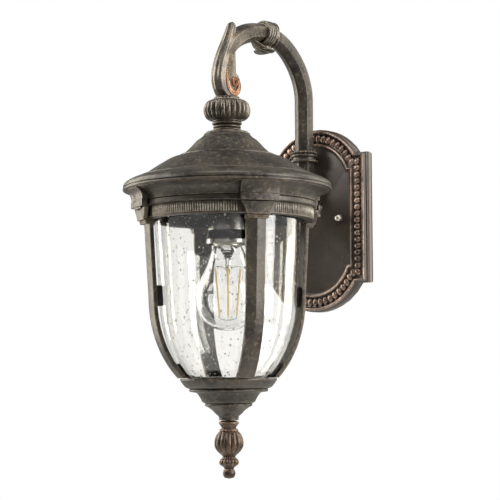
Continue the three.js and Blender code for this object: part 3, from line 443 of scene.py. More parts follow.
def seated(profile, node):
    """A profile raised or lowered so that it stands where the node stands."""
    drop = lowest(node)[2] - min(height for _, height in profile)
    return [(radius, height + drop) for radius, height in profile]


ON_AXIS = (0, AXIS_Y, 0)


def mark_edges(mesh):
    """Keeps on each face corner how sharply the surface turns there, in 1/mm: over 0 on an outer edge,
    and close to 0 all over a broad face."""
    count, links = len(mesh.vertices), len(mesh.edges)
    place = np.empty(count * 3)
    mesh.vertices.foreach_get("co", place)
    place = place.reshape(-1, 3) / MM
    normal = np.empty(count * 3, np.float32)
    mesh.vertex_normals.foreach_get("vector", normal)
    normal = normal.reshape(-1, 3)
    ends = np.empty(links * 2, np.int64)
    mesh.edges.foreach_get("vertices", ends)
    first, second = ends.reshape(-1, 2).T
    span = place[second] - place[first]
    length = np.maximum((span ** 2).sum(1), 1e-6)
    bend = np.bincount(first, -(span * normal[first]).sum(1) / length, count)
    bend += np.bincount(second, (span * normal[second]).sum(1) / length, count)
    valence = np.maximum(np.bincount(first, minlength=count) + np.bincount(second, minlength=count), 1)
    bend = np.clip(bend / valence, -1, 1)
    around = np.bincount(first, bend[second], count) + np.bincount(second, bend[first], count)
    bend = 0.6 * bend + 0.4 * around / valence
    corner = np.empty(len(mesh.loops), np.int64)
    mesh.loops.foreach_get("vertex_index", corner)
    area = np.empty(len(mesh.polygons))
    mesh.polygons.foreach_get("area", area)
    sides = np.empty(len(mesh.polygons), np.int64)
    mesh.polygons.foreach_get("loop_total", sides)
    narrow = np.clip(1.6 / np.sqrt(np.maximum(area / MM ** 2, 1e-6)), 0, 1)
    value = bend[corner] * np.repeat(narrow, sides)
    mesh.attributes.new("edge", "FLOAT", "CORNER").data.foreach_set("value", value.astype(np.float32))


def show(name, mesh, body, coat, stands_for=()):
    """Puts a finished mesh in the scene on its body, in place of the plain nodes it stands for."""
    piece = bpy.data.objects.new(name, mesh)
    bpy.context.scene.collection.objects.link(piece)
    if not mesh.materials:
        mesh.materials.append(finish[coat])
    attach(piece, body)
    if stands_for:
        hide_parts(*stands_for)
    return piece


def make(name, solids, body, coat, stands_for=(), soften=0.0, crease=38):
    """One piece from closed solids in millimetres; soften rounds its sharp edges by that much."""
    build = bmesh.new()
    for points, faces in solids:
        corners = [build.verts.new(point) for point in np.asarray(points) * MM]
        for face in faces:
            build.faces.new([corners[i] for i in face])
        bmesh.ops.remove_doubles(build, verts=corners, dist=0.005 * MM)
    bmesh.ops.dissolve_degenerate(build, dist=0.002 * MM, edges=build.edges)
    bmesh.ops.recalc_face_normals(build, faces=build.faces)
    if soften:
        sharp = [edge for edge in build.edges
                 if len(edge.link_faces) == 2 and edge.calc_face_angle() > math.radians(30)]
        bmesh.ops.bevel(build, geom=sharp, offset=soften * MM, segments=2, profile=0.6, affect="EDGES",
                        clamp_overlap=True)
    mesh = bpy.data.meshes.new(name)
    build.to_mesh(mesh)
    build.free()
    mesh.shade_smooth()
    mesh.set_sharp_from_angle(angle=math.radians(crease))
    mark_edges(mesh)
    return show(name, mesh, body, coat, stands_for)


def make_turned(name, profile, steps, body, coat, stands_for=(), ripple=None, **surface):
    """One piece turned about the lantern's own upright axis."""
    return make(name, [moved(turned(profile, steps, ripple), ON_AXIS)], body, coat, stands_for, **surface)


# ---------------------------------------------------------------- repeated shapes by node trees
def new_tree(name, inputs):
    """A geometry tree with named inputs; gives the tree, its input node and its output node."""
    tree = bpy.data.node_groups.new(name, "GeometryNodeTree")
    tree.interface.new_socket("Geometry", in_out="INPUT", socket_type="NodeSocketGeometry")
    for label, kind in inputs.items():
        tree.interface.new_socket(label, in_out="INPUT", socket_type=kind)
    tree.interface.new_socket("Geometry", in_out="OUTPUT", socket_type="NodeSocketGeometry")
    return tree, add(tree, "NodeGroupInput"), add(tree, "NodeGroupOutput")


def finish_tree(tree, source, given, output):
    """Every tree ends in real, smooth faces with a finish on them."""
    real = add(tree, "GeometryNodeRealizeInstances", {0: source})
    smooth = add(tree, "GeometryNodeSetShadeSmooth", {0: real.outputs[0]})
    coated = add(tree, "GeometryNodeSetMaterial", {0: smooth.outputs[0], "Material": given.outputs["Finish"]})
    tree.links.new(coated.outputs[0], output.inputs[0])


def bead_row_tree(name, pivot):
    """Beads evenly spaced along a closed line, each turned to lie along it."""
    size = "NodeSocketFloat"
    tree, given, output = new_tree(name, {"Count": "NodeSocketInt", "Length": size, "Width": size,
                                          "Height": size, "Finish": "NodeSocketMaterial"})
    line = add(tree, "GeometryNodeMeshToCurve", {0: given.outputs["Geometry"]})
    even = add(tree, "GeometryNodeResampleCurve", {0: line.outputs[0], "Count": given.outputs["Count"]},
               mode="COUNT")
    places = add(tree, "GeometryNodeCurveToPoints", {0: even.outputs[0]}, mode="EVALUATED")
    turn = add(tree, "FunctionNodeAlignRotationToVector", {"Vector": places.outputs["Tangent"]},
               axis="X", pivot_axis=pivot)
    ball = add(tree, "GeometryNodeMeshUVSphere", {"Segments": 10, "Rings": 7, "Radius": 0.5})
    shape = add(tree, "ShaderNodeCombineXYZ", {0: given.outputs["Length"], 1: given.outputs["Height"],
                                               2: given.outputs["Width"]})
    copies = add(tree, "GeometryNodeInstanceOnPoints",
                 {"Points": places.outputs[0], "Instance": ball.outputs[0], "Rotation": turn.outputs[0],
                  "Scale": shape.outputs[0]})
    finish_tree(tree, copies.outputs[0], given, output)
    return tree


def knurl_tree():
    """Upright ridges round a band, left out where the four rib heads cover it."""
    size = "NodeSocketFloat"
    tree, given, output = new_tree("ridges_round_a_band",
                                   {"Count": "NodeSocketInt", "Radius": size, "Ridge": size, "Height": size,
                                    "First rib": size, "Half head": size, "Finish": "NodeSocketMaterial"})
    ring = add(tree, "GeometryNodeMeshCircle", {"Vertices": given.outputs["Count"],
                                                "Radius": given.outputs["Radius"]})
    place = add(tree, "ShaderNodeSeparateXYZ", {0: add(tree, "GeometryNodeInputPosition").outputs[0]})
    angle = add(tree, "ShaderNodeMath", {0: place.outputs[1], 1: place.outputs[0]}, operation="ARCTAN2")
    from_rib = add(tree, "ShaderNodeMath", {0: angle.outputs[0], 1: given.outputs["First rib"]},
                   operation="SUBTRACT")
    centred = add(tree, "ShaderNodeMath", {0: from_rib.outputs[0], 1: math.pi / 4}, operation="ADD")
    quarter = add(tree, "ShaderNodeMath", {0: centred.outputs[0], 1: math.pi / 2}, operation="FLOORED_MODULO")
    offset = add(tree, "ShaderNodeMath", {0: quarter.outputs[0], 1: math.pi / 4}, operation="SUBTRACT")
    near = add(tree, "ShaderNodeMath", {0: offset.outputs[0]}, operation="ABSOLUTE")
    covered = add(tree, "FunctionNodeCompare", {0: near.outputs[0], 1: given.outputs["Half head"]},
                  operation="LESS_THAN")
    free = add(tree, "GeometryNodeDeleteGeometry", {0: ring.outputs[0], 1: covered.outputs[0]},
               domain="POINT")
    ridge = add(tree, "GeometryNodeMeshCylinder", {"Vertices": 8, "Radius": given.outputs["Ridge"],
                                                   "Depth": given.outputs["Height"]})
    copies = add(tree, "GeometryNodeInstanceOnPoints",
                 {"Points": free.outputs[0], "Instance": ridge.outputs[0]})
    finish_tree(tree, copies.outputs[0], given, output)
    return tree


def seed_tree():
    """Air seeds scattered through a glass wall, flattened along it, most of them small."""
    size = "NodeSocketFloat"
    tree, given, output = new_tree("seeds_in_glass",
                                   {"Density": size, "Smallest": size, "Largest": size,
                                    "Seed": "NodeSocketInt", "Finish": "NodeSocketMaterial"})
    places = add(tree, "GeometryNodeDistributePointsOnFaces",
                 {"Mesh": given.outputs["Geometry"], "Density": given.outputs["Density"],
                  "Seed": given.outputs["Seed"]}, distribute_method="RANDOM")
    chance = add(tree, "FunctionNodeRandomValue", {"Seed": given.outputs["Seed"]})
    mostly_small = add(tree, "ShaderNodeMath", {0: chance.outputs[1], 1: 3.0}, operation="POWER")
    radius = add(tree, "ShaderNodeMapRange", {0: mostly_small.outputs[0], 3: given.outputs["Smallest"],
                                              4: given.outputs["Largest"]})
    shape = add(tree, "ShaderNodeVectorMath", {0: (1.0, 1.25, 0.62), "Scale": radius.outputs[0]},
                operation="SCALE")
    ball = add(tree, "GeometryNodeMeshUVSphere", {"Segments": 10, "Rings": 6, "Radius": 1.0})
    copies = add(tree, "GeometryNodeInstanceOnPoints",
                 {"Points": places.outputs[0], "Instance": ball.outputs[0],
                  "Rotation": places.outputs["Rotation"], "Scale": shape.outputs[0]})
    finish_tree(tree, copies.outputs[0], given, output)
    return tree


def grow(name, tree, base, values, body, coat, by=(0, 0, 0)):
    """Runs a tree on a base mesh and keeps what it makes as one plain piece."""
    host = bpy.data.objects.new(name + "_base", base)
    bpy.context.scene.collection.objects.link(host)
    modifier = host.modifiers.new("shape", "NODES")
    modifier.node_group = tree
    values = {**values, "Finish": finish[coat]}
    for item in tree.interface.items_tree:
        if item.item_type == "SOCKET" and item.in_out == "INPUT" and item.name in values:
            modifier[item.identifier] = values[item.name]
    bpy.context.view_layer.update()
    shaped = host.evaluated_get(bpy.context.evaluated_depsgraph_get())
    mesh = bpy.data.meshes.new_from_object(shaped)
    mesh.name = name
    bpy.data.objects.remove(host)
    points = np.empty(len(mesh.vertices) * 3)
    mesh.vertices.foreach_get("co", points)
    mesh.vertices.foreach_set("co", (points.reshape(-1, 3) + np.asarray(by) * MM).ravel())
    mesh.update()
    mark_edges(mesh)
    return show(name, mesh, body, coat)


def line_mesh(points):
    """A closed line of (x, y, z) millimetre points, as edges."""
    mesh = bpy.data.meshes.new("line")
    count = len(points)
    edges = [(i, (i + 1) % count) for i in range(count)]
    mesh.from_pydata([tuple(np.asarray(point) * MM) for point in points], edges, [])
    return mesh


# ---------------------------------------------------------------- backplate
def plate_outline(inset, steps=40):
    """(x, z) points: two straight sides, four shoulders and two arches, all set in by `inset`."""
    half_width = (highest("backplate")[0] - lowest("backplate")[0]) / 2
    arch_radius, shoulder, straight = 59, 11.3, 62
    centre = straight - math.sqrt(arch_radius ** 2 - (half_width - shoulder) ** 2)
    radius, lift = arch_radius - inset, straight - inset - centre
    start = math.atan2(lift, math.sqrt(radius ** 2 - lift ** 2))
    points = []
    for sign in (1, -1):
        points.append((sign * (half_width - inset), sign * (straight - inset)))
        for angle in np.linspace(start, math.pi - start, steps + 1):
            points.append((sign * radius * math.cos(angle), sign * (centre + radius * math.sin(angle))))
        points.append((-sign * (half_width - inset), sign * (straight - inset)))
    return points


def make_backplate():
    back = highest("backplate")[1]
    section = [(3, -9.8), (3, back), (0.4, back), (0, back - 0.4), (0, -9.0), (0.25, -9.5), (0.8, -9.8),
               (1.3, -10.3), (1.5, -11.2), (1.65, -12.6), (2.0, -13.6), (2.7, -14.1), (3.4, -13.9),
               (4.0, -13.1), (4.4, -12.2), (4.9, -11.9), (13.4, -11.9), (13.9, -12.2),
               (14.2, -13.2), (14.6, -14.0),
               (15.3, -14.3), (16.0, -14.0), (16.5, -13.5), (17.2, -13.2), (19, -13.3), (24, -13.8),
               (31, -14.4), (38, -14.8), (44, -15.0)]
    rings = [[(x, y, z) for x, z in plate_outline(inset)] for inset, y in section]
    make("plate_shell", [skin(rings)], "root", "bronze_smooth", ["backplate"], crease=50)
    line = [(x, -12.7, z) for x, z in plate_outline(9.2)]
    values = {"Count": 74, "Length": 6.0 * MM, "Width": 7.2 * MM, "Height": 4.6 * MM}
    grow("plate_beads", bead_row_tree("beads_along_a_plate", "Y"), line_mesh(line), values, "root", "rims")
    for inset, y, label in ((2.75, -13.2, "outer"), (15.3, -13.4, "inner")):
        rim = [(x, y, z) for x, z in plate_outline(inset)]
        make(f"plate_{label}_rim", [rod(rim, 1.15, 10, closed=True)], "root", "rims")
    for side in ("left", "right"):
        low, high = lowest(f"cap_nut_{side}"), highest(f"cap_nut_{side}")
        foot = -high[1]
        profile = [(0, foot), (3.4, foot), (3.5, foot + 0.4), (3.5, foot + 2.4), (3.2, foot + 2.9),
                   *arc((0, foot + 3.1), 3.3, 10, 90, 8)]
        centre = ((low[0] + high[0]) / 2, 0, (low[2] + high[2]) / 2)
        nut = moved(turned(profile, 32), centre, lay=True)
        make(f"dome_nut_{side}", [nut], "root", "nickel", [f"cap_nut_{side}"])


# ---------------------------------------------------------------- arm
HEX = 9.1  # corner radius of the bar
ARM_BACK = -27.6
SPRINGING = 113.6
CROOK = 56.7
ROUND_PULL = 0.5523  # how far a cubic's handles reach, as a share of the radius, on a quarter circle


def hex_outline(radius, rounding=0.09):
    """A hexagon with a corner on each in-plane side and softly rounded corners."""
    corners = [(radius * math.sin(a), radius * math.cos(a)) for a in FULL_TURN * np.arange(6) / 6]
    points = []
    for i, corner in enumerate(corners):
        before, after = np.array(corners[i - 1]), np.array(corners[(i + 1) % 6])
        corner = np.array(corner)
        a, b = corner + (before - corner) * rounding, corner + (after - corner) * rounding
        middle = (a + b + 2 * corner) / 4
        points += [tuple(a), tuple((a + middle) / 2 + (corner - middle) * 0.12), tuple(middle),
                   tuple((b + middle) / 2 + (corner - middle) * 0.12), tuple(b)]
    return points


def cubic(a, b, c, d, steps=40):
    t = np.linspace(0, 1, steps + 1)[:, None]
    a, b, c, d = (np.asarray(p, float) for p in (a, b, c, d))
    return (1 - t) ** 3 * a + 3 * (1 - t) ** 2 * t * b + 3 * (1 - t) * t ** 2 * c + t ** 3 * d


CROOK_TOP = (ARM_BACK - CROOK, SPRINGING + CROOK)


def make_arm():
    boss_z = 26
    foot = -highest("arm_foot")[1]
    boss = [(0, foot), (14, foot), (14.2, foot + 0.4), (14.2, foot + 1.8), (13.4, foot + 2.4),
            (11, foot + 2.8), (9.6, foot + 4), (8.8, foot + 6), (8, -ARM_BACK), (0, -ARM_BACK)]
    low = lowest("arm_foot")[2]
    drop = [(0, low), *arc((0, low + 3.2), 3.2, -90, 20, 6), (3.4, low + 5.2), (5.6, low + 7),
            (8.4, low + 10.4), (8.6, low + 12), (0, low + 12)]
    post = swept(hex_outline(HEX), [(ARM_BACK, z) for z in np.linspace(boss_z - 10, 62, 12)])
    make("arm_foot_post", [moved(turned(boss, 48), (0, 0, boss_z), lay=True),
                           moved(turned(drop, 32), (0, ARM_BACK, 0)), post], "root", "bronze", ["arm_foot"])

    base = lowest("arm_collar")[2]
    collar = [(8.6, base), (12.6, base), *bead(12.4, base + 1.2, 0.9), (11.2, base + 2.6), (10.9, base + 3.2),
              (11, base + 4.6), *bead(11.8, base + 6.3, 1.2), (10.9, base + 8), (11.3, base + 9.2),
              (10.8, base + 10.6), (9.6, base + 11), (8.6, base + 11), (8.6, base)]
    make("collar_turned", [moved(turned(collar, 64), (0, ARM_BACK, 0))], "root", "bronze", ["arm_collar"])
    circle = line_mesh(level_circle(11.9, ARM_BACK, base + 9.3))
    grow("collar_beads", bead_row_tree("beads_round_a_post", "Z"), circle,
         {"Count": 22, "Length": 3.2 * MM, "Width": 2.6 * MM, "Height": 2.4 * MM}, "root", "bronze")

    straight = [(ARM_BACK, z) for z in np.linspace(base + 6, SPRINGING, 24)[:-1]]
    bend = cubic((ARM_BACK, SPRINGING), (ARM_BACK, SPRINGING + CROOK * ROUND_PULL),
                 (CROOK_TOP[0] + CROOK * (1 - ROUND_PULL), CROOK_TOP[1]), CROOK_TOP, 48)
    bar = swept(hex_outline(HEX), [*straight, *map(tuple, bend)])
    make("crook_bar", [bar], "root", "bronze", ["crook_arm"], crease=24)


def make_leaf():
    """The front of the crook: the bar, a grooved leaf over it and a scroll on each side."""
    front = cubic(CROOK_TOP, (CROOK_TOP[0] - 40.7, CROOK_TOP[1]), (-147, 150), (-146, 124), 48)
    taper = np.interp(np.linspace(0, 1, 49), [0, 0.55, 0.9, 1], [1, 1, 0.8, 0.5])
    bar = swept(hex_outline(HEX), front, taper)
    # front and back edges of the leaf in (y, z), from its tip down to the neck, with its half width
    stations = [
        ((-134.6, 173.2), (-132.2, 172.6), 2.0), ((-136.8, 171.4), (-130.6, 169.8), 3.6),
        ((-139.2, 166.4), (-131.2, 164.0), 4.6), ((-141.6, 161.0), (-132.6, 157.4), 5.4),
        ((-144.8, 154.6), (-133.4, 150.8), 6.2), ((-147.8, 149.0), (-133.6, 145.6), 6.7),
        ((-151.9, 141.0), (-133.4, 139.4), 7.1), ((-155.2, 133.0), (-133.0, 132.4), 7.3),
        ((-157.2, 126.0), (-132.8, 126.0), 7.4), ((-158.0, 119.5), (-132.6, 119.5), 7.3),
        ((-157.2, 113.2), (-132.8, 113.4), 7.2), ((-154.6, 108.0), (-133.8, 108.4), 7.2),
        ((-151.4, 104.6), (-134.0, 104.8), 7.6), ((-149.4, 102.2), (-132.8, 102.4), 8.2),
        ((-149.6, 101.4), (-132.4, 101.4), 8.4)]
    table = np.array([[*a, *b, w] for a, b, w in stations])
    smooth_table = np.array(curve(table, 5))
    angles = FULL_TURN * np.arange(56) / 56
    rings = []
    for row, (fy, fz, by, bz, width) in enumerate(smooth_table):
        share = row / (len(smooth_table) - 1)
        centre = np.array([(fy + by) / 2, (fz + bz) / 2])
        half = np.array([fy - by, fz - bz]) / 2
        # deep grooves on the leaf's face, dying away at its tip and at the neck
        groove = 0.085 * math.sin(math.pi * min(1.0, share * 1.15)) ** 0.6 * (share < 0.87)
        face = np.clip(np.cos(angles), 0, 1) ** 0.5
        depth = 1 - groove * face * (1 - np.cos(angles * 9)) / 2
        squared = 1 / (np.abs(np.cos(angles)) ** 3.2 + np.abs(np.sin(angles)) ** 3.2) ** (1 / 3.2)
        out, across = squared * depth * np.cos(angles), squared * depth * np.sin(angles)
        rings.append(np.stack([across * width, centre[0] + half[0] * out, centre[1] + half[1] * out], -1))
    leaf = skin(rings)
    eye = (-137.9, 116.4)
    disc = turned([(0, -7.0), (8.6, -7.0), (9.2, -6.4), (9.2, 6.4), (8.6, 7.0), (0, 7.0)], 48)
    drum = relaid(disc, (2, 0, 1), (0, *eye), (1, 0.86, 1))
    make("leaf_casting", [bar, leaf, drum], "root", "bronze_rubbed_and_highlit", ["scroll_arm"], crease=60)

    # a flat ribbon with two ridges on each side: down the leaf, under the scroll and round to its eye
    route = curve([(-136.6, 161.0), (-138.6, 154.0), (-140.8, 147.6), (-143.9, 138.6), (-146.7, 130.2),
                   (-147.9, 122.8), (-147.6, 115.6), (-145.4, 109.8), (-141.2, 106.4), (-136.4, 106.6),
                   (-133.2, 109.8), (-132.6, 114.4), (-134.8, 118.6), (-138.4, 119.8), (-141.0, 117.4),
                   (-140.4, 114.2), (-137.9, 113.4), (-136.3, 115.2), (-137.3, 116.9)], 6)
    share = np.linspace(0, 1, len(route))
    breadth = np.interp(share, [0, 0.12, 0.3, 0.5, 0.72, 1], [1.2, 2.4, 4.8, 5.0, 3.4, 1.6])
    proud = np.interp(share, [0, 0.15, 0.35, 0.55, 1], [5.0, 6.0, 6.9, 7.3, 8.0])
    path = np.array(route)
    along = np.gradient(path, axis=0)
    along /= np.linalg.norm(along, axis=1)[:, None]
    section = [(-0.5, -1.2), (-0.5, 0.4), (-0.42, 0.9), (-0.26, 1.2), (-0.08, 0.5), (0.08, 0.5), (0.26, 1.2),
               (0.42, 0.9), (0.5, 0.4), (0.5, -1.2)]
    ribbons = []
    for sign in (-1, 1):
        rings = []
        for (y, z), (ty, tz), wide, out in zip(path, along, breadth, proud):
            rings.append([(sign * (out + lift), y + tz * wide * u, z - ty * wide * u) for u, lift in section])
        ribbons.append(skin(rings))
    make("leaf_ribbons", ribbons, "root", "ribbon", crease=60)
    neck_bead = [(0, 100.6), (9.8, 100.6), *bead(10.4, 102.0, 1.3), (8.4, 103.6), (0, 103.8)]
    make_turned("leaf_neck_bead", neck_bead, 48, "root", "bronze")


def make_knot():
    """Rope whippings round the top of the crook, a crossed strap and a bud with its petals below."""
    y0, z0 = CROOK_TOP

    def loop(radius, place, lean):
        """A circle round the bar that leans along it."""
        return [(radius * math.cos(a), y0 + place + lean * radius * math.sin(a), z0 + radius * math.sin(a))
                for a in FULL_TURN * np.arange(40) / 40]

    sleeve = [(8.4, -7.6), (9.2, -7.6), (10.3, -6.2), (10.3, 6.2), (9.2, 7.6), (8.4, 7.6), (8.4, -7.6)]
    core = moved(turned(sleeve, 48), (0, y0, z0), lay=True)
    turns = [rod(loop(10.6, place, 0.16), 1.45, 10, closed=True) for place in (-6.6, -3.4, -0.2, 3.0)]
    make("knot_whipping", [core, *turns], "root", "bronze_rubbed_and_highlit", ["knot_band"], crease=60)
    straps = [rod(loop(11.3, 4.4, lean), 1.0, 8, closed=True) for lean in (-0.3, 0.3)]
    make("knot_straps", straps, "root", "bronze_rubbed_and_highlit")
    bottom = lowest("crook_bud")[2]
    bud = [(0, 0), *curve([(0.4, 0.1), (4.6, 1.2), (6.6, 4.0), (6.2, 7.4), (3.0, 9.4), (0, 9.8)], 4)]
    buds = [moved(turned(bud, 24), (0, y0 - 3, bottom))]
    for lean, forward, size in ((-1, 0.0, 1.0), (1, 0.0, 1.0), (0, 1.0, 1.25)):
        rings = []
        for share in np.linspace(0, 1, 14):
            half = (5.4 * math.sin(math.pi * (0.12 + 0.80 * share)) ** 0.8 + 0.15) * size
            y = y0 + 6 - (26 if forward else 17) * share
            z = bottom + 1.4 + (7.2 if forward else 5.4) * (1 - math.sin(math.pi * (0.25 + 0.55 * share)))
            z += 6 * share ** 2 * forward
            x = lean * (2.5 + 3.4 * math.sin(math.pi * share))
            rings.append([(x + half * math.sin(a), y, z + (1.1 + 0.5 * math.cos(a)) * math.cos(a)
                           + 0.30 * half * math.sin(a) ** 2) for a in FULL_TURN * np.arange(20) / 20])
        buds.append(skin(rings))
    make("bud_petals", buds, "root", "bronze_rubbed_and_highlit", ["crook_bud"], crease=60)


# ---------------------------------------------------------------- neck and canopy
def make_neck():
    low, high = lowest("fluted_ball")[2], highest("fluted_ball")[2]
    middle, half = (low + high) / 2 - 0.6, (high - low) / 2 - 0.6
    lobes = 24

    def gadroon(radius, height, angles):
        depth = 1.9 * max(0.0, 1 - abs((height - middle) / half) ** 4) if radius > 8 else 0
        return radius - depth * (1 - np.abs(np.cos(angles * lobes / 2)) ** 0.8)

    outside = [(12.2 + 9.2 * math.cos(a) ** 0.75, middle + half * math.sin(a))
               for a in np.linspace(-1.5, 1.5, 28)]
    profile = [(5.6, low), (13.4, low), *outside, (11.5, high - 0.3), (5.6, high - 0.3), (5.6, low)]
    make_turned("gadroon_ball", profile, 240, "root", "bronze_rubbed_and_highlit", ["fluted_ball"], gadroon, crease=60)
    circle = line_mesh(level_circle(11.6, AXIS_Y, high - 0.9))
    grow("ball_beads", bead_row_tree("beads_round_the_ball", "Z"), circle,
         {"Count": 24, "Length": 3.0 * MM, "Width": 3.0 * MM, "Height": 3.2 * MM}, "root", "bronze_rubbed_and_highlit")

    foot, head = lowest("neck_collar")[2], highest("neck_collar")[2]
    collar = [(5.6, foot), (12.0, foot), *bead(12.0, foot + 1.5, 1.0), (11.4, foot + 3.0),
              *bead(11.6, foot + 4.2, 1.1), (11.0, foot + 5.6), (11.6, foot + 6.2),
              *bead(12.2, foot + 7.6, 1.3), (12.6, head - 0.8), (12.8, head), (5.6, head), (5.6, foot)]
    make_turned("collar_rings", collar, 96, "root", "bronze", ["neck_collar"])


def make_canopy():
    shoulder = curve([(21.2, 68.0), (23.9, 65.4), (27.8, 62.6), (32.6, 57.4), (38.0, 52.2), (42.0, 49.6)], 6)
    skirt = curve([(45.2, 48.0), (51.8, 46.2), (60.8, 41.0), (69.2, 35.6), (76.6, 30.4)], 7)
    brim = curve([(80.6, 29.4), (86.0, 27.6), (91.2, 25.0), (93.6, 22.6), (94.2, 20.4)], 6)
    outside = [(5.5, 71.0), (18.4, 71.0), *arc((18.6, 70.2), 0.8, 90, -30, 5), (19.3, 69.4),
               *arc((20.2, 69.0), 0.7, 110, -40, 5), *shoulder, *arc((42.7, 48.5), 1.3, 105, -30, 6),
               (44.0, 47.4), *skirt, (77.6, 29.2), *arc((78.9, 29.2), 1.2, 120, -10, 6), *brim,
               (93.5, 19.9), (93.5, 19.3), *arc((93.4, 18.2), 1.1, 60, -80, 6), (92.6, 16.9)]
    under = [(91.8, 16.9), (91.8, 20.4), (90.4, 23.2), (85.0, 25.8), (77.4, 28.0), (68.0, 33.8), (59.8, 39.0),
             (51.0, 44.0), (43.0, 46.0), (37.0, 49.8), (31.4, 54.8), (26.4, 60.2), (20.6, 65.4), (17.6, 68.0),
             (5.5, 68.0), (5.5, 71.0)]
    make_turned("bell_canopy", seated(outside + under, "canopy"), 192, "root", "bronze", ["canopy"],
                crease=30)


# ---------------------------------------------------------------- crown
PIN_OUT, PIN_UP = 83.0, -0.3  # where the hinge pin lies behind the head of rib_330


def sector_block(section, across, azimuth):
    """A moulding section of (outwards, up) points carried across an azimuth: as wide as 2 x across, or
    from across[0] to across[1]."""
    low, high = across if isinstance(across, tuple) else (-across, across)
    rings = [[(out, place, up) for out, up in section] for place in (low, high)]
    return moved(skin(rings), ON_AXIS, azimuth)


def make_crown():
    hollow = curve([(80.5, 8.2), (82.0, 11.0), (84.9, 13.7), (88.8, 15.7), (91.4, 16.6)], 6)
    cove = [(70.2, 6.0), (79.4, 6.0), (80.0, 6.3), (80.2, 7.0), *hollow, (91.5, 17.6), (91.2, 18.4),
            (88.6, 18.6), (83.6, 16.2), (79.8, 12.6), (77.6, 8.0), (70.2, 8.0), (70.2, 6.0)]
    solids = [moved(turned(cove, 160), ON_AXIS)]
    flare = curve([(84.9, 6.4), (85.2, 8.6), (86.1, 11.6), (87.9, 14.2), (90.4, 16.3)], 4)
    face = [(85.2, 0.2), (85.5, 0.6), (85.5, 5.6), (85.2, 6.1), *flare, (89.6, 17.2), (83.6, 15.4),
            (79.2, 9.0), (79.2, 6.2), (80.4, 6.2)]
    corbel = [(80.4, 0.2), *face]
    for name in ("rib_60", "rib_240"):
        solids.append(sector_block(corbel, 17.6, RIBS[name]))
    # at the hinge the middle of the corbel is hollowed behind its face to clear the knuckles
    hollowed = [(80.4, 1.9), (84.95, 1.9), (84.95, 0.2), *face]
    for section, across in ((corbel, (-17.6, -9.7)), (hollowed, (-9.7, 9.7)), (corbel, (9.7, 17.6))):
        solids.append(sector_block(section, across, RIBS["rib_330"]))
    make("crown_cove", solids, "root", "bronze", ["crown_ring"], soften=0.35)
    tongue = [(82.6, 13.5), *arc((84.6, 5.2), 2.0, 180, 360, 10), (86.6, 11.5), (89.2, 16.0), (86.0, 16.4)]
    barrel = [(0, 11.4), (3.1, 11.4), (3.5, 11.9), (3.5, 17.0), (2.6, 17.2), (0, 17.2)]
    lug = [sector_block(tongue, 3.2, RIBS["rib_150"]),
           moved(moved(turned(barrel, 32), (86.6, 0, 0)), ON_AXIS, RIBS["rib_150"])]
    make("catch_tongue", lug, "root", "bronze", soften=0.3)
    shoulder = [(81.6, -0.6), (84.4, -0.6), (84.4, 4.4), (81.6, 4.4)]
    knuckle = [hinge_knuckle(-3.8, 3.8), sector_block(shoulder, 3.7, RIBS["rib_330"])]
    make("hinge_middle_knuckle", knuckle, "root", "bronze")


# ---------------------------------------------------------------- socket and bulb
def make_socket():
    low = lowest("socket_cup")[2]
    waist = curve([(19.3, low + 4.6), (18.4, low + 8.0), (17.6, low + 11.6), (17.5, low + 14)], 5)
    cup = [(18.2, low), (18.6, low), (19.3, low + 0.3), (19.5, low + 1.0), (19.5, low + 3.6), *waist,
           (17.5, low + 27.2), *arc((14.5, low + 28.0), 3.0, 0, 90, 8), (5.4, low + 31), (5.4, low + 29.6),
           (13.9, low + 29.6), (16.3, low + 27.4), (16.3, low + 11.6), (18.2, low + 4), (18.2, low)]
    make_turned("socket_cap", cup, 96, "root", "socket", ["socket_cup"])
    body = [(0, -9), (14.3, -9), (14.3, -29.5), (15.8, -29.5), (15.8, -4.4), (12.4, -1.9), (5.2, -1.9),
            (5.2, -6.4), (0, -6.4)]
    make_turned("porcelain_body", body, 64, "root", "porcelain", ["socket_body"], soften=0.4)


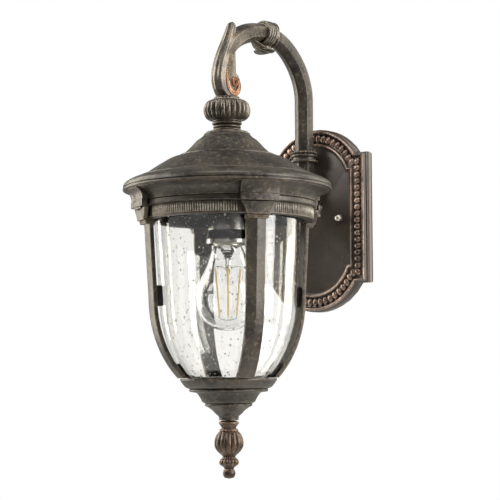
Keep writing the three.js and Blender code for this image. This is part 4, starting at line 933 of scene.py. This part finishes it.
def make_bulb():
    def envelope(shrink):
        """The A19 outline: a globe that runs at its shoulder into a tapering neck."""
        radius, centre, shoulder = 30 - shrink, -79, 0.42
        low = [(max(0.0, radius * math.cos(a)), centre + radius * math.sin(a))
               for a in np.linspace(-math.pi / 2, shoulder, 30)]
        low[0] = (0, centre - radius)
        start = (radius * math.cos(shoulder), centre + radius * math.sin(shoulder))
        return low + curve([start, (22 - shrink, -57), (17.4 - shrink, -46), (15.2 - shrink, -38.4),
                            (12.9 - shrink, -32.8)], 6)[1:]

    make_turned("bulb_envelope", envelope(0) + envelope(0.8)[::-1], 96, "bulb", "clear", ["bulb_glass"])
    flare = curve([(1.6, -56), (2.4, -53), (2.2, -48), (3.6, -42), (7.0, -36), (10.8, -33.3)], 5)
    make_turned("bulb_mount", [(0, -56), *flare, (0, -33.3)], 48, "bulb", "clear", ["bulb_stem"])

    threads = [(0, -32.4), (12.0, -32.4)]
    for i in range(5):
        base = -31.4 + i * 3.2
        threads += curve([(12.1, base), (12.9, base + 0.8), (12.9, base + 1.6), (12.1, base + 2.6)], 3)
    threads += [(11.8, -14.6), (8.0, -12.8), (4.6, -12.2), (4.4, -11.7), (3.0, -11.3), (0, -11.3)]
    make_turned("bulb_thread", threads, 64, "bulb", "nickel", ["bulb_cap"])

    sticks, wires = [], []
    for i in range(4):
        angle = math.radians(-50 + 90 * i)
        out = np.array([math.cos(angle), math.sin(angle), 0])
        top, foot = out * 11.4 + (0, 0, -52), out * 7.5 + (0, 0, -97)
        stick = [top + (foot - top) * s for s in np.linspace(0.03, 0.97, 16)]
        sticks.append(rod(stick, 0.85, 10))
        wires.append(rod([out * 1.2 + (0, 0, -55), out * 4 + (0, 0, -52), out * 9 + (0, 0, -50.6),
                          top + (0, 0, 0.6), top + (foot - top) * 0.06], 0.3, 6))
        wires.append(rod([top + (foot - top) * 0.95, foot + (0, 0, -0.8), out * 4 + (0, 0, -99),
                          (0, 0, -99.4)], 0.3, 6))
    make("filament_sticks", [moved(stick, ON_AXIS) for stick in sticks], "bulb", "amber", ["filament_set"])
    post = rod([(0, 0, -54), (0, 0, -75), (0, 0, -99.6)], 0.35, 6)
    collars = [turned([(0, low), (radius, low), (radius, high), (0, high)], 16)
               for radius, low, high in ((1.6, -58, -56.4), (2.6, -51, -49.8))]
    make("filament_wires", [moved(solid, ON_AXIS) for solid in [*wires, post, *collars]], "bulb", "nickel")


# ---------------------------------------------------------------- cage
def bowed(top, waist, drop, z, waist_z=-80):
    """Radius of a bowed side: a slow taper above its waist and an ellipse below it."""
    if z >= waist_z:
        return waist + (top - waist) * (z - waist_z) / -waist_z
    return waist * math.sqrt(max(0.0, 1 - ((z - waist_z) / drop) ** 2))


def rib_face(z):
    return bowed(77, 72.5, 92, z)


def bowl_face(z):
    return bowed(66.9, 62, 88, z)


def slope_of(face, z):
    return face(z + 0.5) - face(z - 0.5)


def make_ring():
    section = [(69.8, -10), (77.2, -10), (77.6, -9.7), (77.6, -8.8), (77.1, -8.6), (77.1, 0.2), (77.6, 0.5),
               (78.4, 0.9), (79.6, 1.4), (80.0, 1.8), (80.0, 5.2), (79.6, 5.6), (78.8, 5.7), (65, 5.7),
               (65, 3.2), (69.8, 3.2), (69.8, -10)]
    make_turned("cage_band", seated(section, "cage_ring"), 192, "cage", "bronze", ["cage_ring"])
    base = bpy.data.meshes.new("none")
    values = {"Count": 216, "Radius": 77.2 * MM, "Ridge": 0.78 * MM, "Height": 8.6 * MM,
              "First rib": math.radians(RIBS["rib_60"] - 90), "Half head": math.radians(12.0)}
    grow("band_ridges", knurl_tree(), base, values, "cage", "band", (0, AXIS_Y, -4.2))


def rib_shank(foot, top):
    """A bowed strap with a raised ridge down the middle of its outer face."""
    rings = []
    for z in foot + (top - foot) * np.linspace(0, 1, 34) ** 1.25:
        share = (z - foot) / (top - foot)
        outer = rib_face(z)
        inner = outer - 4 * math.sqrt(1 + slope_of(rib_face, z) ** 2)
        half, ridge = 8 + share, 0.5 + 1.3 * share
        right = [(inner, half - 0.5), (inner + 0.5, half), (outer - 0.9, half), (outer - 0.3, half - 0.7),
                 (outer - 0.1, half - 2.0), (outer + ridge - 0.15, 0.6)]
        left = [(out, -across) for out, across in right]
        rings.append([(out, across, z) for out, across in [*left, (outer + ridge, 0), *right[::-1]]])
    return rings


def head_block(rows, low, high, azimuth):
    """The part of a rib's head that lies between two places across it."""
    clipped = [[(out, min(max(across, low), high), up) for out, across, up in row] for row in rows]
    return moved(skin(clipped), ON_AXIS, azimuth)


def hinge_knuckle(low, high):
    """A barrel along the hinge pin, from low to high across the azimuth of the hinge."""
    profile = [(0, low), (1.5, low), (1.7, low + 0.2), (1.7, high - 0.2), (1.5, high), (0, high)]
    return moved(relaid(turned(profile, 32), (0, 2, 1), (PIN_OUT, 0, PIN_UP)), ON_AXIS, RIBS["rib_330"])


def make_ribs():
    inner = rib_face(-14) - 4
    collar = [(inner, -14.6), (78.4, -14.6), *arc((78.8, -13.9), 0.7, -90, 90, 5),
              *arc((79.2, -12.3), 0.8, -90, 90, 5), (82.0, -11.3), (82.0, -10.4), (78.4, -10.4),
              (inner, -10.4)]
    rows = []
    for out, up, share in ((82.0, -10.6, 0), (82.2, -6.0, 0.45), (82.6, -2.6, 0.8), (83.0, -0.8, 1.0)):
        half = 10.2 + 5.4 * share
        rows.append([(78.4, -half, up), (out - 0.5, -half, up), (out, -half + 0.6, up), (out, half - 0.6, up),
                     (out - 0.5, half, up), (78.4, half, up)])
    for name, azimuth in RIBS.items():
        solids = [moved(skin(rib_shank(-151.2, -13.4)), ON_AXIS, azimuth), sector_block(collar, 9.9, azimuth)]
        if name == "rib_330":
            # the head is split to leave room for the middle knuckle
            web = [(78.4, -10.6), (82.0, -10.6), (82.2, -6.0), (82.6, -2.6), (78.4, -2.6)]
            solids += [head_block(rows, -16, -4.1, azimuth), head_block(rows, 4.1, 16, azimuth),
                       sector_block(web, 4.1, azimuth), hinge_knuckle(-9.3, -4.1), hinge_knuckle(4.1, 9.3)]
        else:
            solids.append(head_block(rows, -16, 16, azimuth))
        if name == "rib_150":
            for x0, x1, z0, z1 in ((80.4, 88.9, -3.6, 2.4), (80.5, 82.3, -1.5, 5.4), (86.9, 88.9, -1.5, 7.0)):
                solids.append(sector_block([(x0, z0), (x1, z0), (x1, z1), (x0, z1)], 4.2, azimuth))
        make(f"{name}_cast", solids, "cage", "bronze", [name], soften=0.22, crease=40)
    screw = [(0, 0), (1.3, 0), (1.3, 2.2), (2.5, 2.4), (2.7, 2.7), (2.7, 4.2), (2.4, 4.6), (1.0, 4.7),
             (0.8, 4.1), (0, 4.1)]
    laid = relaid(turned(screw, 32), (2, 0, 1), (86.9, 0, 4.8))
    make("catch_screw_head", [moved(laid, ON_AXIS, RIBS["rib_150"])], "catch_screw", "dark", ["catch_screw"])


def make_cup():
    throat = curve([(9.4, -185.2), (12.0, -183.0), (14.4, -180.4), (17.5, -178.0), (20.4, -176.4)], 4)
    belly = curve([(21.6, -173.8), (23.8, -172.2), (25.2, -169.4), (27.4, -166.0), (28.8, -164.4)], 4)
    lip = curve([(36.4, -160.4), (38.6, -159.4), (41.0, -156.8), (43.0, -153.8)], 4)
    profile = [(3.4, -189), (8.6, -189), (8.9, -188.7), (8.9, -186.2), *throat,
               *arc((20.2, -175.2), 1.1, -60, 70, 6), *belly, (30.6, -164.0), (33.8, -163.6),
               *arc((34.2, -162.2), 1.3, -80, 60, 6), (35.4, -160.8), *lip, (43.5, -153.2), (43.5, -151.9),
               (43.1, -151.5), (39.6, -151.5), (39.6, -153), (35.4, -158), (31, -160.2), (22, -162),
               (16, -168), (3.4, -168), (3.4, -189)]
    make_turned("cup_turned", seated(profile, "bottom_cup"), 128, "cage", "bronze", ["bottom_cup"], crease=32)


def make_finial():
    lobes = 14

    def fluted(radius, height, angles):
        """Flutes on the acorn and finer ones on the lower bead."""
        acorn = max(0.0, 1 - ((height + 209) / 9.5) ** 2) if abs(height + 209) < 9.5 else 0
        lower = max(0.0, 1 - ((height + 226) / 4.2) ** 2) if abs(height + 226) < 4.2 else 0
        groove = 1 - np.abs(np.cos(angles * lobes / 2)) ** 0.7
        return radius - (1.5 * acorn ** 0.5 + 0.9 * lower ** 0.5) * groove * (radius > 4)

    acorn_side = curve([(10.6, -216.6), (12.6, -213.4), (13.3, -209.6), (12.8, -205.6), (11.2, -201.8),
                        (9.4, -199.6)], 5)
    profile = [(0, -241.0), (1.6, -240.9), (3.0, -240.3), *arc((0, -236.2), 5.7, -48, 40, 8), (4.2, -232.6),
               (4.3, -231.6), *arc((5.6, -226.4), 3.4, -72, 72, 10), (6.4, -222.6), (5.6, -221.6),
               (6.6, -220.2), (8.8, -218.4), *acorn_side, (8.0, -198.8),
               *arc((7.6, -197.8), 0.9, -80, 80, 5), (6.5, -196.4), (6.6, -195.2), (7.6, -193.8),
               *arc((7.6, -191.6), 1.5, -80, 80, 6), (6.4, -189.4), (3.0, -189.3), (3.0, -234.3), (0, -234.3)]
    make_turned("finial_turned", seated(profile, "finial"), 168, "cage", "copper", ["finial"], fluted,
                crease=45)
    circle = line_mesh(level_circle(7.4, AXIS_Y, -198.0))
    grow("finial_beads", bead_row_tree("beads_round_a_finial", "Z"), circle,
         {"Count": 16, "Length": 2.4 * MM, "Width": 2.0 * MM, "Height": 2.2 * MM}, "cage", "rims")


def make_bowl():
    rim, floor, wall = highest("glass_bowl")[2], lowest("glass_bowl")[2], 2.2
    heights = [floor + 3.0 + (rim - floor - 3.0) * s ** 1.5 for s in np.linspace(0, 1, 42)]
    outside = [(0, floor), (14, floor), (24, floor), (27.4, floor + 0.2), (30.5, floor + 1.0)]
    outside += [(bowl_face(z), z) for z in heights]
    inside = [(0, floor + wall), (14, floor + wall), (24, floor + wall), (27, floor + wall + 0.3)]
    for z in heights[1:]:
        inside.append((bowl_face(z) - wall * min(1.6, math.sqrt(1 + slope_of(bowl_face, z) ** 2)), z))
    make_turned("bowl_glass", outside + inside[::-1], 160, "cage", "seeded", ["glass_bowl"], crease=60)
    middle = [(max(0.0, radius - wall / 2), z) for radius, z in outside[3:]]
    points, faces = moved(turned(middle, 64), ON_AXIS)
    guide = bpy.data.meshes.new("guide")
    guide.from_pydata([tuple(p * MM) for p in points], [], faces)
    values = {"Density": 21000.0, "Smallest": 0.3 * MM, "Largest": 1.05 * MM, "Seed": 7}
    grow("bowl_seeds", seed_tree(), guide, values, "cage", "seeds")


# ---------------------------------------------------------------- the lantern
aim_camera()
light_studio()
lay_floor()
make_backplate()
make_arm()
make_leaf()
make_knot()
make_neck()
make_canopy()
make_crown()
make_socket()
make_bulb()
make_ring()
make_ribs()
make_cup()
make_finial()
make_bowl()

for coat, nodes in CAD_FINISH.items():
    for node in nodes:
        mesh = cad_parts[node].data
        mesh.materials.clear()
        mesh.materials.append(finish[coat])
